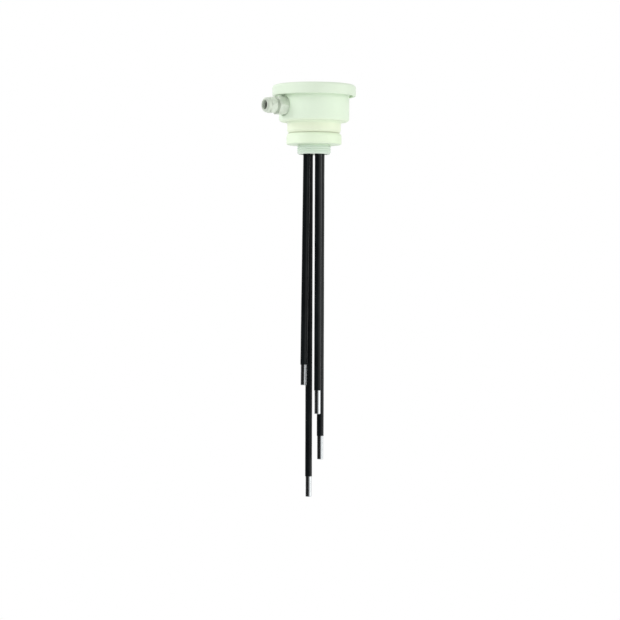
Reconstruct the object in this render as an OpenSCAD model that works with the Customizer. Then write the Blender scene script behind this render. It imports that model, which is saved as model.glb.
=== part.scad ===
// Electrode level switch: moulded head with a screw lid, a side cable gland, an electronics
// insert and four insulated electrode rods of different lengths.
// The origin is on the main axis, at the sealing face under the ring, where the thread begins.
// +Z points up through the lid, and the cable gland points along -X.

/* [Head] */
// Outside diameter of the pot-shaped body
body_d = 69; // [66:0.5:86]
// Height of the body from its underside to the lower edge of the lid
body_h = 25; // [24:0.5:40]
// Wall of the body and the neck
body_wall = 3; // [2.4:0.1:4]
// Radius round the body's lower edge
body_corner_r = 3; // [1:0.5:5]
// Radial step from the body in to the neck
neck_step = 8.25; // [7:0.25:9]
// Height of the neck from the joint up to the body
neck_h = 10.7; // [9:0.1:16]
// How far the top of the rim stands above the lid's lower edge
rim_h = 6.3; // [6:0.1:9]
// Radial width of the rim's top face
rim_w = 3.1; // [2.4:0.1:4]

/* [Lid] */
// How far the lid's side stands out from the body
lid_overhang = 6.5; // [6:0.25:9]
// Height of the lid
lid_h = 11; // [10.5:0.5:18]
// Radius round the lid's top edge
lid_corner_r = 3; // [2:0.5:5.5]
// Thickness of the lid's skirt
lid_wall = 2.8; // [2:0.1:3.5]
// Thickness of the lid's top
lid_top_wall = 3; // [2:0.1:3.2]
// Radial room between the skirt and the rim, where the coarse thread is
lid_thread_room = 1.3; // [0.6:0.1:1.8]
// Number of stiffening ribs under the lid's top
lid_ribs = 6; // [4:1:12]

/* [Process connection] */
// Diameter of the threaded boss over its thread
boss_d = 33.25; // [31:0.05:41]
// Length of the boss below the ring
boss_len = 9.4; // [8:0.1:30]
// Diameter of the ring over the boss
ring_d = 54; // [48:0.5:66]
// Height of the ring
ring_h = 10.4; // [8:0.1:14]
// Diameter of the shank that goes up into the neck
shank_d = 34; // [31:0.5:36]
// Height of the shank above the neck's floor
shank_rise = 5.4; // [5:0.1:8]
// Gap of the joint between ring and neck, filled by its seal
joint_gap = 1.2; // [0.8:0.1:2]
// Height of the bevels on both sides of the joint
joint_bevel_h = 2; // [0.5:0.1:3]
// Depth of the bevels on both sides of the joint
joint_bevel = 1; // [0.3:0.1:1.5]

/* [Electrodes] */
// Free length of the first rod below the boss
rod_1_len = 226; // [60:1:1000]
// Free length of the second rod below the boss
rod_2_len = 336; // [60:1:1000]
// Free length of the third rod below the boss
rod_3_len = 254; // [60:1:1000]
// Free length of the fourth rod below the boss
rod_4_len = 299; // [60:1:1000]
// Bare length at the tips of the first and second rods
short_tip = 20; // [5:1:40]
// Bare length at the tips of the third and fourth rods
long_tip = 23; // [5:1:40]
// Diameter of a bare rod
rod_d = 6; // [4:0.1:6.2]
// Thickness of the insulating sleeve
sleeve_wall = 0.4; // [0.3:0.05:0.5]
// Diameter of the circle that the rods stand on
rod_pcd = 16.5; // [15.5:0.1:18]
// Slant of the first rod, which the photographed one has
rod_1_lean = 0.6; // [0:0.1:0.8]
// Thickness of the plate that holds the rods' collars down
clamp_plate_t = 3; // [2:0.1:5]

/* [Cable gland] */
// Height of the gland's axis above the body's underside
gland_rise = 14.4; // [13.6:0.1:14.9]
// Depth of the flat spot face under the gland
gland_spot = 1.5; // [1:0.1:2]
// Thickness of the wall at the gland
gland_seat = 3.4; // [2.8:0.1:5]
// Diameter of the gland's shank through the wall
gland_shank_d = 15.2; // [12:0.1:15.6]
// Width across flats of the gland's body
gland_af = 17; // [15.5:0.1:17.5]
// Width across flats of the gland's cap nut
gland_nut_af = 15; // [14.4:0.1:17]
// Diameter of the hole for the cable in the rubber insert
cable_hole_d = 6; // [4:0.1:6.6]

/* [Electronics insert] */
// Height of the posts that the circuit board stands on
post_h = 8.2; // [7.8:0.1:9.5]
// Height of the insert's case above the underside of the board
case_h = 14; // [13.5:0.1:15]
// Distance from the main axis to the insert's flat side, which leaves room for the cable
case_flat = 20; // [19.5:0.5:21]
// Number of terminals for the cable's cores
terminal_count = 5; // [3:1:5]
// Distance from one terminal to the next
terminal_pitch = 5.2; // [5:0.1:5.4]
// Travel of the mode switch's slider
mode_travel = 4; // [2:0.5:5]

/* [Hidden] */
$fn = 96;
cut = 1;                 // how far a cutting shape runs past the face it cuts
sink = 0.5;              // how far a shape is sunk into the one it is joined to

// Heights and radii of the head
ring_top = ring_h;
neck_z = ring_top + joint_gap;
neck_floor_t = body_wall;
neck_floor = neck_z + neck_floor_t;
body_z = neck_z + neck_h;
body_floor = body_z + body_wall;
lid_z = body_z + body_h;
rim_top = lid_z + rim_h;
lid_seal_least = 1;      // the lid grows with the rim, so that its seal is never thinner
lid_ceiling = max(lid_z + lid_h - lid_top_wall, rim_top + lid_seal_least);
lid_top = lid_ceiling + lid_top_wall;
body_r = body_d / 2;
body_in_r = body_r - body_wall;
neck_r = body_r - neck_step;
neck_in_r = neck_r - body_wall;
neck_fillet = 1.2;
lid_r = body_r + lid_overhang;
lid_in_r = lid_r - lid_wall;
rim_r = lid_in_r - lid_thread_room;
mouth_r = rim_r - rim_w;
mouth_depth = 4;         // height of the wider mouth inside the rim
rim_edge = 0.5;          // bevel on the rim's edges
rim_foot_h = 0.5;        // how far the body goes on above the lid's lower edge

// Lid
lid_edge = 0.6;          // bevel on the lid's lower edges
lid_panel_d = 64;        // shallow round recess in the lid's top
lid_panel_depth = 0.6;
lid_panel_border = 3;    // least width of the flat border round the recess
lid_panel_r = min(lid_panel_d / 2, lid_r - lid_corner_r - lid_panel_border);
locating_ring_w = 1.2;   // ring under the lid that reaches into the mouth
locating_ring_h = 3;
locating_ring_gap = 0.4;
locating_ring_r = mouth_r - locating_ring_gap;
lid_rib_w = 1.4;
lid_rib_h = 2;
lid_hub_r = 5;
seal_side_gap = 0.25;
lid_seal_t = lid_ceiling - rim_top;

// Process connection
boss_bevel = 1;
ring_edge = 0.8;
shank_top = neck_floor + shank_rise;
shank_r = shank_d / 2;
shank_bevel = 0.5;
shank_hole_gap = 0.15;
neck_seal_gap = 0.2;
neck_seal_back = 0.45;   // how far the seal stays behind the bevels of the joint
neck_seal_r = min(neck_r, ring_d / 2) - joint_bevel - neck_seal_back;
lock_ring_h = 4.8;
lock_ring_w = 4.5;
lock_ring_gap = 0.05;
lock_slots = 6;
lock_slot = [3, 2];      // width and depth of the spanner slots

// Rods: angle on the circle, free length, bare length, lean
RODS = [
    [180, rod_1_len, short_tip, rod_1_lean],
    [90, rod_2_len, short_tip, 0],
    [270, rod_3_len, long_tip, 0],
    [0, rod_4_len, long_tip, 0]
];
lean_dir = 149;          // compass angle that the first rod's tip leans towards
rod_tip_bevel = 0.4;
sleeve_d = rod_d + 2 * sleeve_wall;
sleeve_bore_gap = 0.1;   // radial room round a sleeve in its bore
seal_section = 1.5;
seal_gap = 0.02;
collar_wall = 1.4;       // how far a rod's collar stands out from its sleeve
collar_d = sleeve_d + 2 * collar_wall;
collar_h = 3.6;
collar_bevel = 0.3;
collar_bore_gap = 0.2;
collar_drop = 0.1;       // how far the collar lies below the plate
collar_top = shank_top - collar_drop;
collar_z = collar_top - collar_h;
seal_floor = collar_z - seal_section - 2 * seal_gap;
rod_bore_d = sleeve_d + 2 * sleeve_bore_gap;
collar_bore_d = collar_d + 2 * collar_bore_gap;

// Holder of the rods, a stepped plug in the connector
holder_edge = 0.9;       // wall between a bore and the holder's outside
boss_wall = 1.8;         // least wall of the boss round the holder
shank_wall = 1.2;        // least wall of the shank round the holder
holder_gap = 0.05;
holder_set_back = 0.6;   // how far the holder's foot stays above the boss's underside
holder_bevel = 0.4;
holder_seal_t = 1;
holder_step_drop = 2.2;  // from the floor of the collars' bores down to the holder's shoulder
holder_r = min((rod_pcd + rod_bore_d) / 2 + holder_edge, boss_d / 2 - boss_wall);
holder_top_r = min((rod_pcd + collar_bore_d) / 2 + holder_edge, shank_r - shank_wall);
holder_shoulder = seal_floor - holder_step_drop;
stud_step = 0.5;         // least shoulder round a stud's foot
stud_d = min(5, rod_d - 2 * stud_step);
stud_bevel = 0.5;
stud_gap = 0.2;
stud_end_gap = 0.3;      // between the end of a stud and the closed end of its socket
plate_edge = 1;          // how far the plate stays inside the shank's edge
plate_top = shank_top + clamp_plate_t;
washer_d = 10;
washer_t = 0.8;
washer_recess = 0.25;
washer_gap = 0.2;        // room round a washer in its recess
washer_hole_gap = 0.15;  // room round a stud in its washer
nut_af = 8;
nut_h = 4;
nut_bevel = 0.4;
clamp_screw_d = 3.5;
clamp_core_d = 2.9;      // the screw and its hole are drawn at the core of their thread
clamp_hole_depth = 11;
clamp_bite = 9.5;        // how far the screw goes into the shank
clamp_head_d = 5.4;
clamp_head_h = 2.2;

// Electronics insert
board_z = body_floor + post_h;
board_t = 1.6;
board_top = board_z + board_t;
board_gap = 0.2;
case_gap = 1.5;
case_wall = 1.5;
case_r = body_in_r - case_gap;
case_top = board_z + case_h;
case_in_r = case_r - case_wall;
case_in_flat = case_flat - case_wall;
POSTS = [0, 115, -115];
post_d = 5.8;
post_edge = 0.2;         // least distance from a post to the neck's bore
case_column_d = 7;
column_edge = 0.15;      // least distance from a column to the outside of the case
post_r = min(neck_in_r + post_d / 2 + post_edge, case_r - case_column_d / 2 - column_edge);
post_pilot_d = 2.6;
post_pilot_depth = 4.9;
case_screw_d = 3;
case_screw_len = 10;
case_screw_head_d = 5.5;
case_screw_head_h = 2;
case_screw_seat = 3.9;   // height of the seat of a screw's head above the board
case_column_floor = board_top + case_screw_seat;
screw_gap = 0.2;
socket_d = 7.4;
socket_gap = 0.05;
socket_len = 4.7;
socket_cap = 0.8;        // closed top of a socket, under the board
socket_drop = 0.06;      // room over the cap, because a leaning rod's socket leans too
socket_pin_d = 1.6;
socket_pin_stand = 0.8;  // how far a socket's pin stands above the board
stud_top = board_z - socket_cap - stud_end_gap;
block_depth = 8;
block_h = 10;
block_gap = 0.3;
block_end = 1;           // extra length at each end of the terminal block
block_set_back = 1;      // how far the block stands behind the case's flat side
block_len = terminal_count * terminal_pitch + 2 * block_end;
block_x = -case_flat + block_set_back;
entry = [4, 3.6, 6.5];   // width, height and depth of a wire entry
entry_rise = 1.6;
screw_well_d = 4.2;
screw_well_depth = 4.4;
terminal_screw_d = 3.8;
terminal_screw_h = 2.2;
terminal_slot = [0.8, 0.9];
relay_size = [11, 20, 10];
relay_x = 11.2;
relay_edge = 0.6;
knob_y = -19;
knob_d = 9;
knob_h = 2.6;
knob_edge_r = 0.7;
knob_lift = 0.3;         // clearance under the knob's head
knob_stem_d = 3;
knob_slot = [1.2, 0.9];  // width and depth
knob_slot_end = 1.2;     // how far the slot stays inside the knob's edge
knob_notch_r = 0.8;
stem_gap = 0.4;
stem_hole_depth = 2;
stem_end_gap = 0.2;
pot_size = [9, 9, 5.9];
switch_y = 19;
slider_w = 3;
slider_foot = [6, 4.4, 1.2];
slider_gap = 0.3;
slider_rise = 1.3;
slider_z = case_top - case_wall - slider_gap - slider_foot[2];
switch_size = [11, 6, slider_z - slider_gap - board_top];
lens_d = 3;
lens_x = 17;
lens_y = [-4, 4];
lens_stand = 0.9;
lens_edge_r = 0.6;

// Cable gland, measured from the main axis along -X
gland_z = body_z + gland_rise;
gland_pad = body_r - gland_spot;
lock_nut_af = 18;
lock_nut_h = 3;
lock_nut_room = 0.3;     // least room on the seat beside the lock nut's corners
lock_nut_reach = lock_nut_af / 2 / cos(30) + lock_nut_room;
// The seat comes in far enough for its flat to be as wide as the lock nut
gland_inner = min(gland_pad - gland_seat, sqrt(pow(body_in_r, 2) - pow(lock_nut_reach, 2)));
gland_spot_r = 10;
gland_hole_gap = 0.15;
gland_washer_t = 1.2;
gland_washer_w = 1.6;    // how far the washer reaches out from the shank
gland_washer_gap = 0.05;
gland_washer_d = gland_shank_d + 2 * gland_washer_w;
gland_hex_z = gland_pad + gland_washer_t;
gland_hex_h = 8.6;
gland_hex_front = gland_hex_z + gland_hex_h;
gland_bevel = 0.7;       // how far the hexagons' corners are turned down
gland_shank_stand = 1;   // how far the shank stands out of the lock nut
gland_shank_bevel = 0.6;
gland_shank_end = gland_inner - lock_nut_h - gland_shank_stand;
nut_wall = 1.7;          // from the spigot's thread to the cap nut's flats
spigot_d = gland_nut_af - 2 * nut_wall;
spigot_len = 7.8;
spigot_bevel = 0.5;
spigot_front = gland_hex_front + spigot_len;
cable_way_gap = 0.7;     // how much wider than the insert's hole the way behind it is, all round
cable_way_d = cable_hole_d + 2 * cable_way_gap;
insert_wall = 1.6;
insert_d = cable_hole_d + 2 * insert_wall;
insert_len = 6.6;
insert_stand = 0.8;      // how far the rubber stands out of the spigot
insert_seat = spigot_front + insert_stand - insert_len;
insert_gap = 0.1;
thrust_t = 0.9;
thrust_gap = 0.2;
thrust_z = spigot_front + insert_stand;
nut_gap = 2;             // between the gland's hexagon and the cap nut's skirt
nut_start = gland_hex_front + nut_gap;
nut_shoulder = thrust_z + thrust_t;
nut_lip_t = 3.9;
nut_front = nut_shoulder + nut_lip_t;
nut_bore_gap = 0.2;
nut_lip_w = 1.1;         // least overlap of the nut's lip and the slip ring
nut_mouth_d = min(spigot_d - 2 * nut_lip_w, insert_d + 2 * insert_gap);
nut_mouth_bevel = 0.7;
nut_skirt_h = 2.2;
nut_skirt_step = 0.3;    // how far the skirt lies inside the hexagon's flats
nut_dome_h = 5;
nut_dome_r = 2.2;
nut_dome_step = 0.2;     // how far the dome lies inside the hexagon's flats

// A flat ring or washer standing on z
module flat_ring(z, h, outer_r, inner_r) {
    translate([0, 0, z])
        difference() {
            cylinder(h = h, r = outer_r);
            translate([0, 0, -cut])
                cylinder(h = h + 2 * cut, r = inner_r);
        }
}

// Half section of a disc from z up, with a rounded upper edge
module round_top_section(z, h, r, edge_r) {
    translate([0, z])
        square([r - edge_r, h]);
    translate([0, z])
        square([r, h - edge_r]);
    translate([r - edge_r, z + h - edge_r])
        circle(r = edge_r);
}

// Half section of a disc from z up, with a rounded lower edge
module round_base_section(z, h, r, edge_r) {
    translate([0, z])
        square([r - edge_r, h]);
    translate([0, z + edge_r])
        square([r, h - edge_r]);
    translate([r - edge_r, z + edge_r])
        circle(r = edge_r);
}

// Concave fillet in the corner at (r, z), open to the outside and below
module cove_section(r, z, edge_r) {
    difference() {
        translate([r - edge_r, z - edge_r])
            square([2 * edge_r, 2 * edge_r]);
        translate([r + edge_r, z - edge_r])
            circle(r = edge_r);
        translate([r, z])
            square([2 * edge_r, 2 * edge_r]);
    }
}

// Hexagonal bar along +Z with its corners turned down at one or both ends
module hex_bar(z, h, af, bevel_low, bevel_high) {
    corner_r = af / 2 / cos(30);
    past = 0.1;          // how far the turned shape stands outside the corners
    translate([0, 0, z])
        intersection() {
            rotate([0, 0, 30])
                cylinder(h = h, r = corner_r, $fn = 6);
            rotate_extrude()
                polygon([
                    [0, 0],
                    [corner_r - bevel_low, 0],
                    [corner_r + past, (bevel_low + past) * tan(30)],
                    [corner_r + past, h - (bevel_high + past) * tan(30)],
                    [corner_r - bevel_high, h],
                    [0, h]
                ]);
        }
}

// Puts a child that stands on the main axis onto rod i's own line, which may lean
module at_rod(i) {
    angle = RODS[i][0];
    lean = RODS[i][3];
    translate([rod_pcd / 2 * cos(angle), rod_pcd / 2 * sin(angle), -boss_len])
        rotate(a = lean, v = [sin(lean_dir), -cos(lean_dir), 0])
            translate([0, 0, boss_len])
                children();
}

module at_rods() {
    for (i = [0:len(RODS) - 1])
        at_rod(i)
            children();
}

module at_posts() {
    for (a = POSTS)
        translate([post_r * cos(a), post_r * sin(a), 0])
            children();
}

// Turns +Z into the direction of the gland, so that z is the distance from the main axis
module along_gland() {
    translate([0, 0, gland_z])
        rotate([0, -90, 0])
            children();
}

// Outline of the board and its case, seen from above: a disc with one flat side
module d_outline(r, flat) {
    intersection() {
        circle(r = r);
        translate([-flat, -2 * r])
            square([4 * r, 4 * r]);
    }
}

module lid() {
    skirt_h = lid_ceiling - lid_z;
    rib_start = lid_hub_r - sink;
    rib_end = locating_ring_r - locating_ring_w / 2;
    color([0.85, 0.92, 0.81]) {
        rotate_extrude()
            difference() {
                round_top_section(lid_z, lid_top - lid_z, lid_r, lid_corner_r);
                translate([0, lid_z - cut])
                    square([lid_in_r, skirt_h + cut]);
                polygon([
                    [lid_r - lid_edge - cut, lid_z - cut],
                    [lid_r + cut, lid_z - cut],
                    [lid_r + cut, lid_z + lid_edge + cut]
                ]);
                translate([0, lid_top - lid_panel_depth])
                    square([lid_panel_r, lid_panel_depth + cut]);
            }
        flat_ring(lid_ceiling - locating_ring_h, locating_ring_h + sink,
            locating_ring_r, locating_ring_r - locating_ring_w);
        translate([0, 0, lid_ceiling - lid_rib_h])
            cylinder(h = lid_rib_h + sink, r = lid_hub_r);
        for (i = [0:lid_ribs - 1])
            rotate([0, 0, (i + 0.5) * 360 / lid_ribs])
                translate([rib_start, -lid_rib_w / 2, lid_ceiling - lid_rib_h])
                    cube([rib_end - rib_start, lid_rib_w, lid_rib_h + sink]);
    }
}

module lid_seal() {
    color([0.2, 0.2, 0.21])
        flat_ring(rim_top, lid_seal_t, lid_in_r - seal_side_gap,
            locating_ring_r + seal_side_gap);
}

// Half section of the neck, the body and the rim, without the inside
module housing_outer_section() {
    polygon([
        [0, neck_z],
        [neck_r - joint_bevel, neck_z],
        [neck_r, neck_z + joint_bevel_h],
        [neck_r, body_z + body_wall / 2],
        [0, body_z + body_wall / 2]
    ]);
    cove_section(neck_r, body_z, neck_fillet);
    round_base_section(body_z, body_h + rim_foot_h, body_r, body_corner_r);
    rim_foot = lid_z + rim_foot_h;
    polygon([
        [0, lid_z],
        [body_r, lid_z],
        [body_r, rim_foot],
        [rim_r, rim_foot + rim_r - body_r],
        [rim_r, rim_top - rim_edge],
        [rim_r - rim_edge, rim_top],
        [0, rim_top]
    ]);
}

// Half section of the room inside the head
module housing_inner_section() {
    mouth_floor = rim_top - mouth_depth;
    translate([0, neck_z - cut])
        square([shank_r + shank_hole_gap, neck_floor_t + 2 * cut]);
    translate([0, neck_floor])
        square([neck_in_r, body_floor - neck_floor + cut]);
    translate([0, body_floor])
        square([body_in_r, rim_top - body_floor + cut]);
    polygon([
        [0, mouth_floor - (mouth_r - body_in_r)],
        [body_in_r, mouth_floor - (mouth_r - body_in_r)],
        [mouth_r, mouth_floor],
        [mouth_r, rim_top + cut],
        [0, rim_top + cut]
    ]);
}

module housing() {
    color([0.88, 0.95, 0.85]) {
        difference() {
            union() {
                rotate_extrude()
                    difference() {
                        housing_outer_section();
                        housing_inner_section();
                    }
                // Flat seat inside the wall for the gland's lock nut
                intersection() {
                    translate([0, 0, body_floor - sink])
                        cylinder(h = body_h, r = body_in_r + sink);
                    translate([-body_r, -body_in_r, body_floor - sink])
                        cube([body_r - gland_inner, 2 * body_in_r, lid_z - body_floor]);
                }
                at_posts()
                    translate([0, 0, body_floor - sink])
                        cylinder(h = post_h + sink, d = post_d);
            }
            along_gland() {
                translate([0, 0, gland_pad])
                    cylinder(h = gland_spot + cut, r = gland_spot_r);
                translate([0, 0, gland_inner - cut])
                    cylinder(h = gland_pad - gland_inner + 2 * cut,
                        r = gland_shank_d / 2 + gland_hole_gap);
            }
            at_posts()
                translate([0, 0, board_z - post_pilot_depth])
                    cylinder(h = post_pilot_depth + cut, d = post_pilot_d);
        }
    }
}

// Ring, threaded boss and shank in one piece, with a stepped hole for the rods' holder
module process_connector() {
    hole_r = holder_r + holder_gap;
    step_r = holder_top_r + holder_gap;
    step_z = holder_shoulder - holder_seal_t;
    color([0.87, 0.94, 0.84])
        rotate_extrude()
            polygon([
                [hole_r, -boss_len],
                [boss_d / 2 - boss_bevel, -boss_len],
                [boss_d / 2, -boss_len + boss_bevel],
                [boss_d / 2, 0],
                [ring_d / 2 - ring_edge, 0],
                [ring_d / 2, ring_edge],
                [ring_d / 2, ring_top - joint_bevel_h],
                [ring_d / 2 - joint_bevel, ring_top],
                [shank_r, ring_top],
                [shank_r, shank_top - shank_bevel],
                [shank_r - shank_bevel, shank_top],
                [step_r, shank_top],
                [step_r, step_z],
                [hole_r, step_z]
            ]);
}

// Insulating plug with a bore for each rod, its collar and its seal
module rod_holder() {
    foot = -boss_len + holder_set_back;
    color([0.9, 0.9, 0.87])
        difference() {
            rotate_extrude()
                polygon([
                    [0, foot],
                    [holder_r - holder_bevel, foot],
                    [holder_r, foot + holder_bevel],
                    [holder_r, holder_shoulder],
                    [holder_top_r, holder_shoulder],
                    [holder_top_r, shank_top],
                    [0, shank_top]
                ]);
            at_rods() {
                translate([0, 0, -boss_len - cut])
                    cylinder(h = boss_len + seal_floor + 2 * cut, d = rod_bore_d);
                translate([0, 0, seal_floor])
                    cylinder(h = shank_top - seal_floor + cut, d = collar_bore_d);
            }
            translate([0, 0, shank_top - clamp_hole_depth])
                cylinder(h = clamp_hole_depth + cut, d = clamp_core_d);
        }
}

// Flat seal between the holder's shoulder and the step in the connector
module holder_seal() {
    color([0.2, 0.2, 0.21])
        flat_ring(holder_shoulder - holder_seal_t, holder_seal_t, holder_top_r - seal_gap,
            holder_r + seal_gap);
}

module neck_seal() {
    color([0.8, 0.82, 0.76])
        flat_ring(ring_top, joint_gap, neck_seal_r, shank_r + neck_seal_gap);
}

// Threaded ring on the shank, with slots for a hook spanner
module lock_ring() {
    outer_r = shank_r + lock_ring_w;
    color([0.86, 0.86, 0.82])
        difference() {
            flat_ring(neck_floor, lock_ring_h, outer_r, shank_r + lock_ring_gap);
            for (i = [0:lock_slots - 1])
                rotate([0, 0, i * 360 / lock_slots])
                    translate([outer_r - lock_slot[1], -lock_slot[0] / 2, neck_floor - cut])
                        cube([lock_slot[1] + cut, lock_slot[0], lock_ring_h + 2 * cut]);
        }
}

// Turned steel rod i: bare tip, long shaft up to the top of its collar and a stud above it
module rod(i) {
    foot = -boss_len - RODS[i][1];
    color([0.75, 0.76, 0.78])
        at_rod(i)
            rotate_extrude()
                polygon([
                    [0, foot],
                    [rod_d / 2 - rod_tip_bevel, foot],
                    [rod_d / 2, foot + rod_tip_bevel],
                    [rod_d / 2, collar_top],
                    [stud_d / 2, collar_top],
                    [stud_d / 2, stud_top - stud_bevel],
                    [stud_d / 2 - stud_bevel, stud_top],
                    [0, stud_top]
                ]);
}

// Steel collars pressed on the rods, which the plate holds down
module rod_collars() {
    color([0.72, 0.73, 0.75])
        at_rods()
            rotate_extrude()
                polygon([
                    [rod_d / 2, collar_z],
                    [collar_d / 2 - collar_bevel, collar_z],
                    [collar_d / 2, collar_z + collar_bevel],
                    [collar_d / 2, collar_top - collar_bevel],
                    [collar_d / 2 - collar_bevel, collar_top],
                    [rod_d / 2, collar_top]
                ]);
}

// Black tube over rod i, from its bare tip up to the collar
module sleeve(i) {
    foot = -boss_len - RODS[i][1] + RODS[i][2];
    color([0.05, 0.06, 0.06])
        at_rod(i)
            flat_ring(foot, collar_z - foot, sleeve_d / 2, rod_d / 2);
}

module rod_seals() {
    color([0.1, 0.1, 0.1])
        at_rods()
            translate([0, 0, seal_floor + seal_gap + seal_section / 2])
                rotate_extrude()
                    translate([sleeve_d / 2 + seal_gap + seal_section / 2, 0])
                        circle(d = seal_section, $fn = 32);
}

// Insulating plate over the rods' collars, with a recess for each washer
module clamp_plate() {
    color([0.9, 0.89, 0.84])
        difference() {
            translate([0, 0, shank_top])
                cylinder(h = clamp_plate_t, r = shank_r - plate_edge);
            at_rods() {
                translate([0, 0, shank_top - cut])
                    cylinder(h = clamp_plate_t + 2 * cut, d = stud_d + 2 * stud_gap);
                translate([0, 0, plate_top - washer_recess])
                    cylinder(h = washer_recess + cut, d = washer_d + 2 * washer_gap);
            }
            translate([0, 0, shank_top - cut])
                cylinder(h = clamp_plate_t + 2 * cut, d = clamp_screw_d + 2 * screw_gap);
        }
}

// Pan head screw with a cross recess, its head's seat at z
module pan_screw(z, d, length, head_d, head_h) {
    slot = [head_d * 0.55, head_d * 0.16, head_h * 0.55];
    difference() {
        union() {
            translate([0, 0, z - length])
                cylinder(h = length + sink, d = d);
            rotate_extrude()
                round_top_section(z, head_h, head_d / 2, head_h * 0.45);
        }
        for (a = [45, 135])
            rotate([0, 0, a])
                translate([-slot[0] / 2, -slot[1] / 2, z + head_h - slot[2]])
                    cube([slot[0], slot[1], slot[2] + cut]);
    }
}

module clamp_screw() {
    color([0.72, 0.73, 0.75])
        pan_screw(plate_top, clamp_core_d, clamp_plate_t + clamp_bite, clamp_head_d, clamp_head_h);
}

module rod_washers() {
    color([0.78, 0.79, 0.8])
        at_rods()
            flat_ring(plate_top - washer_recess, washer_t, washer_d / 2,
                stud_d / 2 + washer_hole_gap);
}

module rod_nuts() {
    nut_z = plate_top - washer_recess + washer_t;
    color([0.74, 0.75, 0.77])
        at_rods()
            difference() {
                hex_bar(nut_z, nut_h, nut_af, nut_bevel, nut_bevel);
                translate([0, 0, nut_z - cut])
                    cylinder(h = nut_h + 2 * cut, d = stud_d);
            }
}

module circuit_board() {
    color([0.12, 0.36, 0.2])
        difference() {
            translate([0, 0, board_z])
                linear_extrude(board_t)
                    d_outline(case_in_r - board_gap, case_in_flat - board_gap);
            at_rods()
                translate([0, 0, board_z - cut])
                    cylinder(h = board_t + 2 * cut, d = socket_pin_d);
            at_posts()
                translate([0, 0, board_z - cut])
                    cylinder(h = board_t + 2 * cut, d = case_screw_d + 2 * screw_gap);
        }
}

// Brass sockets under the board that the rods' studs plug into, each with a pin to solder
module contact_sockets() {
    bore_r = stud_d / 2 + socket_gap;
    top = board_z - socket_drop;
    color([0.8, 0.66, 0.34])
        at_rods()
            rotate_extrude()
                polygon([
                    [bore_r, board_z - socket_len],
                    [socket_d / 2, board_z - socket_len],
                    [socket_d / 2, top],
                    [socket_pin_d / 2, top],
                    [socket_pin_d / 2, board_top + socket_pin_stand],
                    [0, board_top + socket_pin_stand],
                    [0, board_z - socket_cap],
                    [bore_r, board_z - socket_cap]
                ]);
}

module relay() {
    color([0.16, 0.2, 0.42])
        translate([relay_x, -relay_size[1] / 2, board_top])
            difference() {
                cube(relay_size);
                for (y = [0, relay_size[1]])
                    translate([-cut, y, relay_size[2]])
                        rotate([45, 0, 0])
                            translate([0, -relay_edge, -relay_edge])
                                cube([relay_size[0] + 2 * cut, 2 * relay_edge, 2 * relay_edge]);
            }
}

module potentiometer() {
    color([0.2, 0.3, 0.55])
        translate([0, knob_y, board_top])
            difference() {
                translate([-pot_size[0] / 2, -pot_size[1] / 2, 0])
                    cube(pot_size);
                translate([0, 0, pot_size[2] - stem_hole_depth])
                    cylinder(h = stem_hole_depth + cut, d = knob_stem_d + stem_gap);
            }
}

// Setting knob with its stem, a screwdriver slot and a notch that points
module sensitivity_knob() {
    head_z = case_top + knob_lift;
    stem_z = board_top + pot_size[2] - stem_hole_depth + stem_end_gap;
    color([0.92, 0.92, 0.9])
        translate([0, knob_y, 0])
            difference() {
                union() {
                    rotate_extrude()
                        round_top_section(head_z, knob_h, knob_d / 2, knob_edge_r);
                    translate([0, 0, stem_z])
                        cylinder(h = head_z - stem_z + sink, d = knob_stem_d);
                }
                translate([knob_slot_end - knob_d / 2, -knob_slot[0] / 2, head_z + knob_h - knob_slot[1]])
                    cube([knob_d - 2 * knob_slot_end, knob_slot[0], knob_slot[1] + cut]);
                translate([knob_d / 2, 0, head_z - cut])
                    cylinder(h = knob_h + 2 * cut, r = knob_notch_r);
            }
}

module mode_switch() {
    color([0.12, 0.12, 0.13])
        translate([-switch_size[0] / 2, switch_y - switch_size[1] / 2, board_top])
            cube(switch_size);
}

// Slider of the mode switch, at the -X end of its travel
module mode_slider() {
    start = -mode_travel / 2;
    stem_z = slider_z + slider_foot[2] - sink;
    color([0.92, 0.92, 0.9]) {
        translate([start - slider_foot[0] / 2, switch_y - slider_foot[1] / 2, slider_z])
            cube(slider_foot);
        translate([start - slider_w / 2, switch_y - slider_w / 2, stem_z])
            cube([slider_w, slider_w, case_top + slider_rise - stem_z]);
    }
}

// Row of terminals with a wire entry and a screw well each
module terminal_block() {
    color([0.24, 0.45, 0.3])
        difference() {
            translate([block_x, -block_len / 2, board_top])
                cube([block_depth, block_len, block_h]);
            for (i = [0:terminal_count - 1]) {
                y = (i - (terminal_count - 1) / 2) * terminal_pitch;
                translate([block_x - cut, y - entry[0] / 2, board_top + entry_rise])
                    cube([entry[2] + cut, entry[0], entry[1]]);
                translate([block_x + block_depth / 2, y, board_top + block_h - screw_well_depth])
                    cylinder(h = screw_well_depth + cut, d = screw_well_d);
            }
        }
}

module terminal_screws() {
    color([0.76, 0.77, 0.78])
        for (i = [0:terminal_count - 1]) {
            y = (i - (terminal_count - 1) / 2) * terminal_pitch;
            translate([block_x + block_depth / 2, y, board_top + block_h - screw_well_depth])
                difference() {
                    cylinder(h = terminal_screw_h, d = terminal_screw_d);
                    translate([-terminal_screw_d, -terminal_slot[0] / 2,
                            terminal_screw_h - terminal_slot[1]])
                        cube([2 * terminal_screw_d, terminal_slot[0], terminal_slot[1] + cut]);
                }
        }
}

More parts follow.
